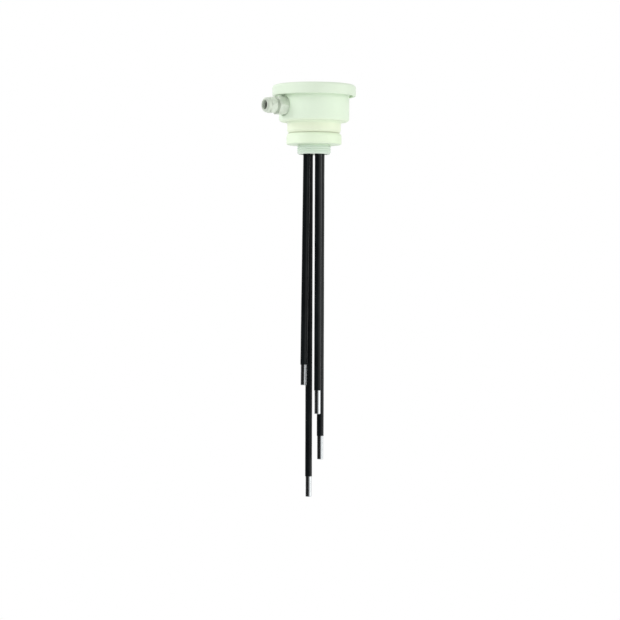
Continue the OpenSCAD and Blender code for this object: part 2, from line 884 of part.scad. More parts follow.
// Cover over the board, open at the terminals, with columns for its three screws
module electronics_case() {
    block_way = block_x + block_depth + block_gap;
    block_room = block_len + 2 * block_gap;
    color([0.2, 0.22, 0.24])
        difference() {
            union() {
                difference() {
                    translate([0, 0, board_z])
                        linear_extrude(case_h)
                            d_outline(case_r, case_flat);
                    translate([0, 0, board_z - cut])
                        linear_extrude(case_h - case_wall + cut)
                            d_outline(case_in_r, case_in_flat);
                }
                at_posts()
                    translate([0, 0, board_top])
                        cylinder(h = case_top - board_top, d = case_column_d);
                // Wall between the terminals and the board's other parts
                translate([block_way, -block_room / 2, board_top])
                    cube([case_wall, block_room, case_top - board_top]);
            }
            // Opening over the terminals and out of the flat side
            translate([-case_flat - cut, -block_room / 2, board_top])
                cube([block_way + case_flat + cut, block_room, case_top - board_top + cut]);
            at_posts() {
                translate([0, 0, board_top - cut])
                    cylinder(h = case_top, d = case_screw_d + 2 * screw_gap);
                translate([0, 0, case_column_floor])
                    cylinder(h = case_top, d = case_screw_head_d + 2 * screw_gap);
            }
            translate([0, knob_y, case_top - case_wall - cut])
                cylinder(h = case_wall + 2 * cut, d = knob_stem_d + 2 * stem_gap);
            translate([-mode_travel / 2 - slider_w / 2 - slider_gap,
                    switch_y - slider_w / 2 - slider_gap, case_top - case_wall - cut])
                cube([mode_travel + slider_w + 2 * slider_gap, slider_w + 2 * slider_gap,
                    case_wall + 2 * cut]);
            for (y = lens_y)
                translate([lens_x, y, case_top - case_wall - cut])
                    cylinder(h = case_wall + 2 * cut, d = lens_d);
        }
}

module case_screws() {
    color([0.72, 0.73, 0.75])
        at_posts()
            pan_screw(case_column_floor, post_pilot_d, case_screw_len, case_screw_head_d,
                case_screw_head_h);
}

module indicator_lenses() {
    color([0.5, 0.8, 0.4])
        for (y = lens_y)
            translate([lens_x, y, 0])
                rotate_extrude()
                    round_top_section(case_top - case_wall, case_wall + lens_stand, lens_d / 2,
                        lens_edge_r);
}

// Hexagonal gland body with its shank in the wall and its spigot for the cap nut
module gland_body() {
    color([0.7, 0.72, 0.7])
        along_gland()
            difference() {
                union() {
                    hex_bar(gland_hex_z, gland_hex_h, gland_af, gland_bevel, gland_bevel);
                    rotate_extrude()
                        polygon([
                            [0, gland_shank_end],
                            [gland_shank_d / 2 - gland_shank_bevel, gland_shank_end],
                            [gland_shank_d / 2, gland_shank_end + gland_shank_bevel],
                            [gland_shank_d / 2, gland_hex_z + sink],
                            [spigot_d / 2, gland_hex_z + sink],
                            [spigot_d / 2, spigot_front - spigot_bevel],
                            [spigot_d / 2 - spigot_bevel, spigot_front],
                            [0, spigot_front]
                        ]);
                }
                translate([0, 0, gland_shank_end - cut])
                    cylinder(h = spigot_front - gland_shank_end + 2 * cut, d = cable_way_d);
                translate([0, 0, insert_seat])
                    cylinder(h = insert_len + cut, d = insert_d + 2 * insert_gap);
            }
}

module gland_washer() {
    color([0.16, 0.17, 0.17])
        along_gland()
            flat_ring(gland_pad, gland_washer_t, gland_washer_d / 2,
                gland_shank_d / 2 + gland_washer_gap);
}

module gland_lock_nut() {
    nut_z = gland_inner - lock_nut_h;
    color([0.7, 0.72, 0.7])
        along_gland()
            difference() {
                hex_bar(nut_z, lock_nut_h, lock_nut_af, gland_bevel, 0);
                translate([0, 0, nut_z - cut])
                    cylinder(h = lock_nut_h + 2 * cut, d = gland_shank_d);
            }
}

module gland_insert() {
    color([0.1, 0.1, 0.1])
        along_gland()
            flat_ring(insert_seat, insert_len, insert_d / 2, cable_hole_d / 2);
}

module gland_thrust_ring() {
    color([0.14, 0.14, 0.14])
        along_gland()
            flat_ring(thrust_z, thrust_t, spigot_d / 2 - thrust_gap, cable_way_d / 2);
}

// Cap nut: round skirt, hexagon and a domed front with the cable's mouth
module gland_nut() {
    flat_r = gland_nut_af / 2;
    hex_z = nut_start + nut_skirt_h;
    hex_h = nut_front - nut_dome_h - hex_z;
    color([0.72, 0.74, 0.72])
        along_gland()
            difference() {
                union() {
                    hex_bar(hex_z, hex_h, gland_nut_af, gland_bevel, gland_bevel);
                    translate([0, 0, nut_start])
                        cylinder(h = nut_skirt_h + sink, r = flat_r - nut_skirt_step);
                    rotate_extrude()
                        round_top_section(hex_z + hex_h - sink, nut_dome_h + sink,
                            flat_r - nut_dome_step, nut_dome_r);
                }
                translate([0, 0, nut_start - cut])
                    cylinder(h = nut_shoulder - nut_start + cut, r = spigot_d / 2 + nut_bore_gap);
                translate([0, 0, nut_shoulder - cut])
                    cylinder(h = nut_front - nut_shoulder + 2 * cut, d = nut_mouth_d);
                rotate_extrude()
                    polygon([
                        [0, nut_front + cut],
                        [0, nut_front - nut_mouth_bevel],
                        [nut_mouth_d / 2, nut_front - nut_mouth_bevel],
                        [nut_mouth_d / 2 + nut_mouth_bevel + cut, nut_front + cut]
                    ]);
            }
}

lid();
lid_seal();
housing();
process_connector();
neck_seal();
lock_ring();
rod_holder();
holder_seal();
rod(0);  // rod_1
rod(1);  // rod_2
rod(2);  // rod_3
rod(3);  // rod_4
sleeve(0);  // sleeve_1
sleeve(1);  // sleeve_2
sleeve(2);  // sleeve_3
sleeve(3);  // sleeve_4
rod_collars();
rod_seals();
clamp_plate();
clamp_screw();
rod_washers();
rod_nuts();
circuit_board();
contact_sockets();
relay();
potentiometer();
sensitivity_knob();
mode_switch();
mode_slider();
terminal_block();
terminal_screws();
electronics_case();
case_screws();
indicator_lenses();
gland_body();
gland_washer();
gland_lock_nut();
gland_insert();
gland_thrust_ring();
gland_nut();
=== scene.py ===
import math
from types import SimpleNamespace as Named

import bmesh
import bpy
import numpy as np
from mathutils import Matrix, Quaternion, Vector


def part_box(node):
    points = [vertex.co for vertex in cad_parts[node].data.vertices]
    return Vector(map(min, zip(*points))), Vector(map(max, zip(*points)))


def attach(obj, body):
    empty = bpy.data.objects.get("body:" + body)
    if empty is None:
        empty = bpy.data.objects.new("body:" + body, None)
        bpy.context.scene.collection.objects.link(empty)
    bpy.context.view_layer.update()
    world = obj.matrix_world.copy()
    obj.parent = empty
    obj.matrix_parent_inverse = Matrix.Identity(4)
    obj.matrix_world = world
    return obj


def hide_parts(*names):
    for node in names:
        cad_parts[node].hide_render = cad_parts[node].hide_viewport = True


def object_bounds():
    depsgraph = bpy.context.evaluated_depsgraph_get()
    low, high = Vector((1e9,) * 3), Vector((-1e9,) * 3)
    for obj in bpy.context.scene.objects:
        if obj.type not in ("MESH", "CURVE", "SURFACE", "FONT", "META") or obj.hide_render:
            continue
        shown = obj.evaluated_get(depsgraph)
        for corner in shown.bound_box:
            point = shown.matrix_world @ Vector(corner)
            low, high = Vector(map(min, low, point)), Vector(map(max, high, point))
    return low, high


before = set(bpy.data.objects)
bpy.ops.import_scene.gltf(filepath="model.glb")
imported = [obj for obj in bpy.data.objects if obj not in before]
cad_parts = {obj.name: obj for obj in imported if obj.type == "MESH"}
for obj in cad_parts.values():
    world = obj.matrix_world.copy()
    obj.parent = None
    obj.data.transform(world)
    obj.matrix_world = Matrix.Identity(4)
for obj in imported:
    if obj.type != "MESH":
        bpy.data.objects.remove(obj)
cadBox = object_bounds()
mm = 0.001
print("frame loaded:", len(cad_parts), "nodes")
# Each piece's values are in a dictionary beside it; the functions read them through Named, as v.radius


def newObject(name, data):
    thing = bpy.data.objects.new(name, data)
    bpy.context.collection.objects.link(thing)
    return thing


def outwardAt(azimuth, elevation=0.0):
    # Direction away from the main axis, in degrees; azimuth 0 is the side towards -Y
    turn, rise = math.radians(azimuth), math.radians(elevation)
    return Vector((math.sin(turn) * math.cos(rise), -math.cos(turn) * math.cos(rise), math.sin(rise)))


# The camera stands level, a good two metres off, with its eye below the head
cameraValues = {
    "azimuth": -31.0,  # degrees round the main axis; 0 looks along +Y
    "distance": 2.244,
    "eyeHeight": -161.9 * mm,
    "metresPerPixel": 0.98 * mm,  # at the main axis
    "imagePixels": 620,
    "axisPixel": 313.4,  # column of the main axis
    "roll": 0.2,
    "sensor": 36.0,
    "clip": (0.1, 50),
}


def makeCamera():
    v = Named(**cameraValues)
    turn = math.radians(v.azimuth)
    back, right = outwardAt(v.azimuth), Vector((math.cos(turn), math.sin(turn), 0))
    aside = (v.axisPixel - v.imagePixels / 2) * v.metresPerPixel
    data = bpy.data.cameras.new("photoCamera")
    data.sensor_width = v.sensor
    data.lens = v.sensor * v.distance / (v.imagePixels * v.metresPerPixel)
    data.clip_start, data.clip_end = v.clip
    camera = newObject("photoCamera", data)
    camera.location = back * v.distance - right * aside + Vector((0, 0, v.eyeHeight))
    level = (-back).to_track_quat("-Z", "Y")
    camera.rotation_mode = "QUATERNION"
    camera.rotation_quaternion = level @ Quaternion((0, 0, 1), math.radians(v.roll))
    bpy.context.scene.camera = camera


# Node trees: small helpers for the materials
def feed(tree, node, inputs):
    # Each input takes either a link from another node or a plain value
    for key, value in inputs.items():
        if isinstance(value, bpy.types.NodeSocket):
            tree.links.new(value, node.inputs[key])
        else:
            node.inputs[key].default_value = value


def addNode(tree, kind, settings=None, inputs=None):
    node = tree.nodes.new(kind)
    for key, value in (settings or {}).items():
        setattr(node, key, value)
    feed(tree, node, inputs or {})
    return node


def newGroup(name, numbers, outputs):
    # Every group takes a Vector and some numbers, with their defaults, and puts out numbers
    group = bpy.data.node_groups.new(name, "ShaderNodeTree")
    group.interface.new_socket("Vector", in_out="INPUT", socket_type="NodeSocketVector")
    for label, value in numbers.items():
        socket = group.interface.new_socket(label, in_out="INPUT", socket_type="NodeSocketFloat")
        socket.default_value = value
    for label in outputs:
        group.interface.new_socket(label, in_out="OUTPUT", socket_type="NodeSocketFloat")
    start = group.nodes.new("NodeGroupInput")
    end = group.nodes.new("NodeGroupOutput")
    return group, start.outputs, end


def useGroup(tree, group, inputs):
    return addNode(tree, "ShaderNodeGroup", {"node_tree": group}, inputs).outputs


def mathNode(tree, operation, a, b, clamp=False):
    settings = {"operation": operation, "use_clamp": clamp}
    return addNode(tree, "ShaderNodeMath", settings, {0: a, 1: b}).outputs[0]


def vectorMath(tree, operation, *vectors):
    node = addNode(tree, "ShaderNodeVectorMath", {"operation": operation}, dict(enumerate(vectors)))
    return node.outputs["Value" if operation in ("DOT_PRODUCT", "LENGTH") else "Vector"]


def mixColours(tree, share, a, b):
    return addNode(tree, "ShaderNodeMix", {"data_type": "RGBA"}, {0: share, 6: a, 7: b}).outputs[2]


def mixValues(tree, share, a, b):
    return addNode(tree, "ShaderNodeMix", {"data_type": "FLOAT"}, {0: share, 2: a, 3: b}).outputs[0]


def rescale(tree, value, reach, toLow=0.0, toHigh=1.0):
    inputs = {"Value": value, "From Min": reach[0], "From Max": reach[1], "To Min": toLow, "To Max": toHigh}
    return addNode(tree, "ShaderNodeMapRange", {"clamp": True}, inputs).outputs["Result"]


def noiseNode(tree, vector, scale, detail=2.0, roughness=0.5):
    inputs = {"Vector": vector, "Scale": scale, "Detail": detail, "Roughness": roughness}
    return addNode(tree, "ShaderNodeTexNoise", None, inputs).outputs[0]


def linear(colour):
    # From a colour as it looks on screen, 0 to 255, to the linear one that the shader takes
    parts = [c / 255 for c in colour]
    return tuple(c / 12.92 if c <= 0.04045 else ((c + 0.055) / 1.055) ** 2.4 for c in parts) + (1.0,)


# What the shared effects are made of; each material places them at its own scales
effectValues = {
    "coarseRatio": 0.23,  # scale of the coarse grain against that of the fine one
    "coarseShare": 0.6,
    "fineNoise": (3.0, 0.6),  # detail and roughness of the finer noises, and of the clouds
    "cloudNoise": (3.0, 0.55),
    "noiseReach": (0.3, 0.7),  # noise levels between which drift, streaks and rings go from 0 to 1
    "cloudReach": (0.35, 0.65),
    "drawnCloud": 45.0,  # scale of the clouds on drawn metal, and on turned metal
    "turnedCloud": 160.0,
    "edgeReach": (0.998, 0.9),  # cosines between the rounded normal and the true one
    "edgeSamples": 6,
    "breakReach": (0.38, 0.58),
    "breakLow": 0.25,  # what is left of an edge where the noise breaks it up
}


# Fine grain of a spark-eroded mould, and the slow drift of its colour
def makeMouldGrain():
    e = Named(**effectValues)
    numbers = {"Grain Scale": 2600.0, "Drift Scale": 26.0}
    group, taken, end = newGroup("mouldGrain", numbers, ["Height", "Drift"])
    fine = noiseNode(group, taken["Vector"], taken["Grain Scale"], *e.fineNoise)
    coarseScale = mathNode(group, "MULTIPLY", taken["Grain Scale"], e.coarseRatio)
    coarse = noiseNode(group, taken["Vector"], coarseScale)
    weight = mathNode(group, "MULTIPLY", coarse, e.coarseShare)
    drift = noiseNode(group, taken["Vector"], taken["Drift Scale"])
    feed(group, end, {
        "Height": mathNode(group, "ADD", fine, weight), "Drift": rescale(group, drift, e.noiseReach),
    })
    return group


# Mask that is 1 along convex and concave edges, broken up by noise; the materials paint a paler colour
# there, a painted highlight on the edges
def makeEdgeHighlightGroup():
    e = Named(**effectValues)
    numbers = {"Radius": 0.4 * mm, "Break Scale": 400.0, "Amount": 1.0}
    group, taken, end = newGroup("edgeHighlightGroup", numbers, ["Edge"])
    rounded = addNode(group, "ShaderNodeBevel", {"samples": e.edgeSamples}, {"Radius": taken["Radius"]})
    geometry = addNode(group, "ShaderNodeNewGeometry")
    lean = vectorMath(group, "DOT_PRODUCT", rounded.outputs["Normal"], geometry.outputs["Normal"])
    breaks = noiseNode(group, taken["Vector"], taken["Break Scale"], *e.fineNoise)
    breaks = rescale(group, breaks, e.breakReach, e.breakLow)
    edge = mathNode(group, "MULTIPLY", rescale(group, lean, e.edgeReach), breaks)
    feed(group, end, {"Edge": mathNode(group, "MULTIPLY", edge, taken["Amount"], clamp=True)})
    return group


# Streaks drawn out along Z, as on drawn bar and extruded tube
def makeDrawnStreaks():
    e = Named(**effectValues)
    numbers = {"Across Scale": 2200.0, "Along Scale": 18.0}
    group, taken, end = newGroup("drawnStreaks", numbers, ["Streak", "Cloud"])
    stretch = addNode(group, "ShaderNodeCombineXYZ", None, {
        "X": taken["Across Scale"], "Y": taken["Across Scale"], "Z": taken["Along Scale"],
    })
    scaled = vectorMath(group, "MULTIPLY", taken["Vector"], stretch.outputs["Vector"])
    streak = noiseNode(group, scaled, 1.0, *e.fineNoise)
    cloud = noiseNode(group, taken["Vector"], e.drawnCloud, *e.cloudNoise)
    feed(group, end, {
        "Streak": rescale(group, streak, e.noiseReach), "Cloud": rescale(group, cloud, e.cloudReach),
    })
    return group


# Rings left by a lathe tool round an axis that the Mapping node puts on Z
def makeTurnedRings():
    e = Named(**effectValues)
    group, taken, end = newGroup("turnedRings", {"Ring Scale": 5200.0}, ["Ring", "Cloud"])
    split = addNode(group, "ShaderNodeSeparateXYZ", None, {"Vector": taken["Vector"]}).outputs
    flat = addNode(group, "ShaderNodeCombineXYZ", None, {"X": split["X"], "Y": split["Y"]})
    along = mathNode(group, "ADD", vectorMath(group, "LENGTH", flat.outputs["Vector"]), split["Z"])
    steps = mathNode(group, "MULTIPLY", along, taken["Ring Scale"])
    ring = addNode(group, "ShaderNodeTexNoise", {"noise_dimensions": "1D"}, {
        "W": steps, "Scale": 1.0, "Detail": 2.0,
    }).outputs[0]
    cloud = noiseNode(group, taken["Vector"], e.turnedCloud, *e.cloudNoise)
    feed(group, end, {
        "Ring": rescale(group, ring, e.noiseReach), "Cloud": rescale(group, cloud, e.cloudReach),
    })
    return group


mouldGrain = makeMouldGrain()
edgeHighlightGroup = makeEdgeHighlightGroup()
drawnStreaks = makeDrawnStreaks()
turnedRings = makeTurnedRings()


materials = {}


def newMaterial(name):
    materials[name] = bpy.data.materials.new(name)
    materials[name].use_nodes = True
    tree = materials[name].node_tree
    return tree, tree.nodes["Principled BSDF"], addNode(tree, "ShaderNodeTexCoord").outputs["Object"]


# Share of the painted edge highlight, where a material paints its paler edge colour
def paintedEdgeHighlight(tree, place, v):
    inputs = {"Vector": place, "Radius": v.edgeRadius, "Amount": v.edgeLift}
    return useGroup(tree, edgeHighlightGroup, inputs)["Edge"]


def roughAbout(tree, value, reach, rough, spread):
    # Roughness that a texture carries from a little under its middle level to a little over it
    return rescale(tree, value, reach, rough - spread[0], rough + spread[1])


def finishShader(tree, shader, inputs, height, strength, depth):
    # Everything that feeds the shader, with a bump from a height in the texture
    bump = addNode(tree, "ShaderNodeBump", None, {"Strength": strength, "Distance": depth, "Height": height})
    feed(tree, shader, {**inputs, "Normal": bump.outputs["Normal"]})


# Moulded plastics: a colour, a second one that it drifts to, and a grain, with a painted highlight along the
# edges
mouldedValues = {
    # The colour further down, and the heights between which it sets in: on the housing a warmer tint on the
    # neck, painted light from below, and on the connector a greyer, darker boss, painted shade under the
    # ring
    "lidPlastic": {"colour": (224, 238, 218), "drift": (220, 235, 213), "rough": 0.46, "grain": 0.05},
    # Its colour further down warms the neck: painted light from below
    "housingPlastic": {"colour": (227, 242, 221), "drift": (223, 240, 216), "rough": 0.44, "grain": 0.05,
                       "lower": (232, 241, 216), "lowerReach": (19.0 * mm, 25.0 * mm)},
    # Its colour further down greys and darkens the boss: painted shade under the ring
    "connectorPlastic": {"colour": (231, 245, 220), "drift": (227, 243, 214), "rough": 0.46, "grain": 0.05,
                         "lower": (214, 229, 214), "lowerReach": (-1.2 * mm, 0.6 * mm)},
    "lockRingPlastic": {"colour": (214, 214, 204), "drift": (206, 206, 196), "rough": 0.5, "grain": 0.06},
    "holderPlastic": {"colour": (214, 216, 208), "drift": (206, 209, 200), "rough": 0.48, "grain": 0.05},
    "platePlastic": {"colour": (228, 225, 210), "drift": (222, 218, 200), "rough": 0.5, "grain": 0.05},
    "casePlastic": {"colour": (74, 78, 82), "drift": (66, 70, 74), "rough": 0.55, "grain": 0.16},
    "controlPlastic": {"colour": (226, 226, 220), "drift": (218, 218, 210), "rough": 0.4, "grain": 0.03},
    "switchPlastic": {"colour": (36, 36, 38), "drift": (30, 30, 32), "rough": 0.45, "grain": 0.06},
    "terminalPlastic": {"colour": (48, 116, 66), "drift": (42, 104, 58), "rough": 0.42, "grain": 0.04},
    "relayPlastic": {"colour": (40, 52, 116), "drift": (36, 46, 104), "rough": 0.35, "grain": 0.03},
    "trimmerPlastic": {"colour": (40, 72, 142), "drift": (36, 66, 130), "rough": 0.35, "grain": 0.03},
    "slipRingPlastic": {"colour": (44, 44, 45), "drift": (36, 36, 37), "rough": 0.5, "grain": 0.06},
}
mouldedCommon = {
    "grainScale": 2600.0,
    "driftScale": 26.0,
    "grainLift": 4,  # bump strength for each unit of grain
    "grainDepth": 0.05 * mm,
    "heightReach": (0.4, 1.2),  # the grain's own heights
    "edgeRadius": 0.35 * mm,
    "edgeLift": 0.35,  # how far an edge goes towards its paler colour, a painted highlight
    "roughSpread": (0.08, 0.08),
}


def mouldedMaterial(name):
    v, c = Named(**mouldedValues[name]), Named(**mouldedCommon)
    tree, shader, place = newMaterial(name)
    grain = useGroup(tree, mouldGrain, {
        "Vector": place, "Grain Scale": c.grainScale, "Drift Scale": c.driftScale,
    })
    colour = mixColours(tree, grain["Drift"], linear(v.colour), linear(v.drift))
    # Further down, painted light or painted shade: the colour changes by height
    if "lower" in mouldedValues[name]:
        split = addNode(tree, "ShaderNodeSeparateXYZ", None, {"Vector": place})
        below = rescale(tree, split.outputs["Z"], v.lowerReach, 1.0, 0.0)
        colour = mixColours(tree, below, colour, linear(v.lower))
    # Edges are painted half way to white: a painted highlight, not wear
    pale = tuple(0.5 + 0.5 * x for x in linear(v.colour)[:3]) + (1.0,)  # half way to white
    colour = mixColours(tree, paintedEdgeHighlight(tree, place, c), colour, pale)
    rough = roughAbout(tree, grain["Height"], c.heightReach, v.rough, c.roughSpread)
    finishShader(tree, shader, {"Base Color": colour, "Roughness": rough},
                 grain["Height"], v.grain * c.grainLift, c.grainDepth)


# Bare metals: bar stock with drawn streaks, and a paler colour painted along the edges as a highlight
steelValues = {
    "rodSteel": {"colour": (206, 210, 212), "dark": (176, 180, 183), "rough": 0.16, "streak": 0.04},
    "zincSteel": {"colour": (200, 203, 208), "dark": (164, 168, 176), "rough": 0.34, "streak": 0.05},
    "contactBrass": {"colour": (222, 190, 118), "dark": (196, 160, 88), "rough": 0.3, "streak": 0.06},
}
steelCommon = {
    # The edge colour and lift below paint a highlight along the edges
    "edgeColour": (232, 233, 235),
    "edgeRadius": 0.2 * mm,
    "edgeLift": 0.6,
    "roughSpread": (0.07, 0.12),
    "streakDepth": 0.02 * mm,
}


def steelMaterial(name):
    v, c = Named(**steelValues[name]), Named(**steelCommon)
    tree, shader, place = newMaterial(name)
    drawn = useGroup(tree, drawnStreaks, {"Vector": place})
    mixed = mathNode(tree, "MULTIPLY", drawn["Streak"], drawn["Cloud"])
    colour = mixColours(tree, mixed, linear(v.colour), linear(v.dark))
    # Paler colour along the edges: a painted highlight
    colour = mixColours(tree, paintedEdgeHighlight(tree, place, c), colour, linear(c.edgeColour))
    rough = roughAbout(tree, drawn["Streak"], (0.0, 1.0), v.rough, c.roughSpread)
    finishShader(tree, shader, {"Base Color": colour, "Metallic": 1.0, "Roughness": rough},
                 drawn["Streak"], v.streak, c.streakDepth)


# Nickel plate on turned brass, with a paler colour painted along the edges as a highlight
nickelValues = {
    "colour": (226, 235, 221),
    "cloud": (209, 219, 203),
    # edge and edgeLift paint a highlight along the edges
    "edge": (238, 240, 226),
    "edgeRadius": 0.25 * mm,
    "edgeLift": 0.7,
    "rough": 0.38,
    "roughSpread": (0.05, 0.1),
    "metal": 0.28,  # the plate is dull, so most of it scatters as paint does
    "ringStrength": 0.12,
    "ringDepth": 0.02 * mm,
    "axisHeight": 36.7 * mm,  # of the gland's axis, along -X
}


def nickelMaterial():
    v = Named(**nickelValues)
    tree, shader, place = newMaterial("glandNickel")
    turned = addNode(tree, "ShaderNodeMapping", {"vector_type": "TEXTURE"}, {
        "Vector": place, "Location": (0, 0, v.axisHeight), "Rotation": (0, math.radians(90), 0),
    })
    rings = useGroup(tree, turnedRings, {"Vector": turned.outputs["Vector"]})
    colour = mixColours(tree, rings["Cloud"], linear(v.colour), linear(v.cloud))
    # Paler colour along the edges: a painted highlight
    colour = mixColours(tree, paintedEdgeHighlight(tree, place, v), colour, linear(v.edge))
    rough = roughAbout(tree, rings["Ring"], (0.0, 1.0), v.rough, v.roughSpread)
    finishShader(tree, shader, {"Base Color": colour, "Metallic": v.metal, "Roughness": rough},
                 rings["Ring"], v.ringStrength, v.ringDepth)


# Black tube shrunk on the rods: semi-gloss, with faint lengthwise drag marks
sleeveValues = {
    "colour": (9, 13, 15),
    "drift": (16, 21, 23),
    "acrossScale": 900.0,
    "alongScale": 9.0,
    "rough": 0.34,
    "roughSpread": (0.05, 0.12),
    "gloss": 0.22,
    "markStrength": 0.25,
    "markDepth": 0.03 * mm,
}


def sleeveMaterial():
    v = Named(**sleeveValues)
    tree, shader, place = newMaterial("sleeveBlack")
    drawn = useGroup(tree, drawnStreaks, {
        "Vector": place, "Across Scale": v.acrossScale, "Along Scale": v.alongScale,
    })
    colour = mixColours(tree, drawn["Cloud"], linear(v.colour), linear(v.drift))
    rough = roughAbout(tree, drawn["Streak"], (0.0, 1.0), v.rough, v.roughSpread)
    finishShader(tree, shader, {"Base Color": colour, "Roughness": rough, "Specular IOR Level": v.gloss},
                 drawn["Streak"], v.markStrength, v.markDepth)


# Rubber with a faint bloom: dark in the gland, the lid and round the rods, and pale for the gland's
# washer and the joint under the neck
rubberValues = {
    "sealRubber": {"colour": (52, 53, 52), "bloom": (76, 78, 76), "rough": 0.72},
    "washerRubber": {"colour": (198, 212, 193), "bloom": (206, 219, 201), "rough": 0.7},
    "sealPale": {"colour": (208, 214, 192), "bloom": (200, 207, 184), "rough": 0.7},
}
rubberCommon = {
    "grainScale": 1500.0,
    "bloomScale": 90.0,
    "grainStrength": 0.3,
    "grainDepth": 0.04 * mm,
    "heightReach": (0.4, 1.2),  # the grain's own heights
    "roughSpread": (0.08, 0.1),
}


def rubberMaterial(name):
    v, c = Named(**rubberValues[name]), Named(**rubberCommon)
    tree, shader, place = newMaterial(name)
    grain = useGroup(tree, mouldGrain, {
        "Vector": place, "Grain Scale": c.grainScale, "Drift Scale": c.bloomScale,
    })
    colour = mixColours(tree, grain["Drift"], linear(v.colour), linear(v.bloom))
    rough = roughAbout(tree, grain["Height"], c.heightReach, v.rough, c.roughSpread)
    finishShader(tree, shader, {"Base Color": colour, "Roughness": rough},
                 grain["Height"], c.grainStrength, c.grainDepth)


# Solder mask over copper tracks that run square to each other
boardValues = {
    "mask": (28, 92, 54),
    "track": (44, 122, 74),
    "trackScale": 260.0,
    "trackSpread": 0.85,  # how unevenly the tracks are placed
    "trackReach": (0.34, 0.38),
    "weaveScale": 1800.0,
    "weaveShare": 0.3,  # of the weave in the bump, next to the tracks
    "rough": 0.3,
    "roughSpread": (0.06, 0.12),
    "bumpStrength": 0.4,
    "bumpDepth": 0.04 * mm,
}


def boardMaterial():
    v = Named(**boardValues)
    tree, shader, place = newMaterial("boardGreen")
    cells = addNode(tree, "ShaderNodeTexVoronoi", {
        "distance": "CHEBYCHEV", "feature": "F1",
    }, {"Vector": place, "Scale": v.trackScale, "Randomness": v.trackSpread})
    track = rescale(tree, cells.outputs["Distance"], v.trackReach, 1.0, 0.0)
    weave = noiseNode(tree, place, v.weaveScale)
    colour = mixColours(tree, track, linear(v.mask), linear(v.track))
    rough = roughAbout(tree, weave, effectValues["noiseReach"], v.rough, v.roughSpread)
    height = mathNode(tree, "ADD", track, mathNode(tree, "MULTIPLY", weave, v.weaveShare))
    finishShader(tree, shader, {"Base Color": colour, "Roughness": rough},
                 height, v.bumpStrength, v.bumpDepth)


# Clear green light guides, with a slow swirl in the melt
lensValues = {
    "colour": (150, 214, 120),
    "deep": (110, 186, 84),
    "swirlScale": 700.0,
    "rough": 0.12,
    "roughSpread": (0.04, 0.06),
    "coat": 0.4,
}


def lensMaterial():
    v, e = Named(**lensValues), Named(**effectValues)
    tree, shader, place = newMaterial("lensGreen")
    swirl = noiseNode(tree, place, v.swirlScale)
    share = rescale(tree, swirl, e.cloudReach)
    colour = mixColours(tree, share, linear(v.colour), linear(v.deep))
    rough = roughAbout(tree, swirl, e.noiseReach, v.rough, v.roughSpread)
    feed(tree, shader, {"Base Color": colour, "Roughness": rough, "Coat Weight": v.coat})


for name in mouldedValues:
    mouldedMaterial(name)
for name in steelValues:
    steelMaterial(name)
nickelMaterial()
sleeveMaterial()
for name in rubberValues:
    rubberMaterial(name)
boardMaterial()
lensMaterial()
print("materials made:", len(materials))


# Surfaces: profiles, grids and the meshes made from them
def roundedProfile(corners, steps=5, support=0.08 * mm, closed=False):
    # A line through (radius, height, arc) corners, the arc's own radius in millimetres: each arc touches
    # both straight sides of its corner, and a point close to each end of a straight keeps that straight
    # flat when it is shaded smooth
    corners = np.array(corners, float)
    count = len(corners)
    arcs = []
    for i in range(count):
        here, arc = corners[i, :2], corners[i, 2] * mm
        if arc == 0 or (not closed and i in (0, count - 1)):
            arcs.append(here[None])
            continue
        toBefore = corners[i - 1, :2] - here
        toAfter = corners[(i + 1) % count, :2] - here
        toBefore /= np.linalg.norm(toBefore)
        toAfter /= np.linalg.norm(toAfter)
        half = 0.5 * math.acos(max(-1.0, min(1.0, float(toBefore @ toAfter))))
        middle = toBefore + toAfter
        centre = here + middle / np.linalg.norm(middle) * arc / math.sin(half)
        start = here + toBefore * arc / math.tan(half) - centre
        end = here + toAfter * arc / math.tan(half) - centre
        sweep = math.pi - 2 * half
        share = np.linspace(0, 1, steps + 1)[:, None]
        ofStart, ofEnd = np.sin((1 - share) * sweep), np.sin(share * sweep)
        arcs.append(centre + (ofStart * start + ofEnd * end) / math.sin(sweep))
    rows = []
    for i, arc in enumerate(arcs):
        rows.append(arc)
        if not closed and i == count - 1:
            break
        gap = arcs[(i + 1) % count][0] - arc[-1]
        length = np.linalg.norm(gap)
        if length > 4 * support:
            step = gap / length * support
            rows.append(np.array([arc[-1] + step, arcs[(i + 1) % count][0] - step]))
    return np.concatenate(rows)


def finerProfile(profile, longest, closed=False):
    # The same line with extra points, so that no stretch is longer than longest
    ends = np.roll(profile, -1, axis=0) if closed else profile[1:]
    starts = profile if closed else profile[:-1]
    rows = []
    for start, end in zip(starts, ends):
        parts = max(1, math.ceil(np.linalg.norm(end - start) / longest))
        rows.append(start + (end - start) * (np.arange(parts) / parts)[:, None])
    if not closed:
        rows.append(profile[-1:])
    return np.concatenate(rows)


def turnedGrid(profile, columns, radiusAt=None):
    # Surface of revolution: at turn a and profile point (r, h) the point is (r cos a, r sin a, h).
    # radiusAt may change r by the turn, for a thread or a hexagon
    turn = np.linspace(0, 2 * np.pi, columns, endpoint=False)[None, :]
    radius = np.repeat(profile[:, 0, None], columns, axis=1)
    height = np.repeat(profile[:, 1, None], columns, axis=1)
    if radiusAt is not None:
        radius = radiusAt(turn + 0 * radius, height, radius)
    return np.stack([radius * np.cos(turn), radius * np.sin(turn), height], axis=-1)


def sweptGrid(path, across, up, section):
    # A section carried along a path: each point is path + u across + w up, for the section's (u, w)
    return (path[:, None, :] + across[:, None, :] * section[..., 0, None]
            + up[:, None, :] * section[..., 1, None])


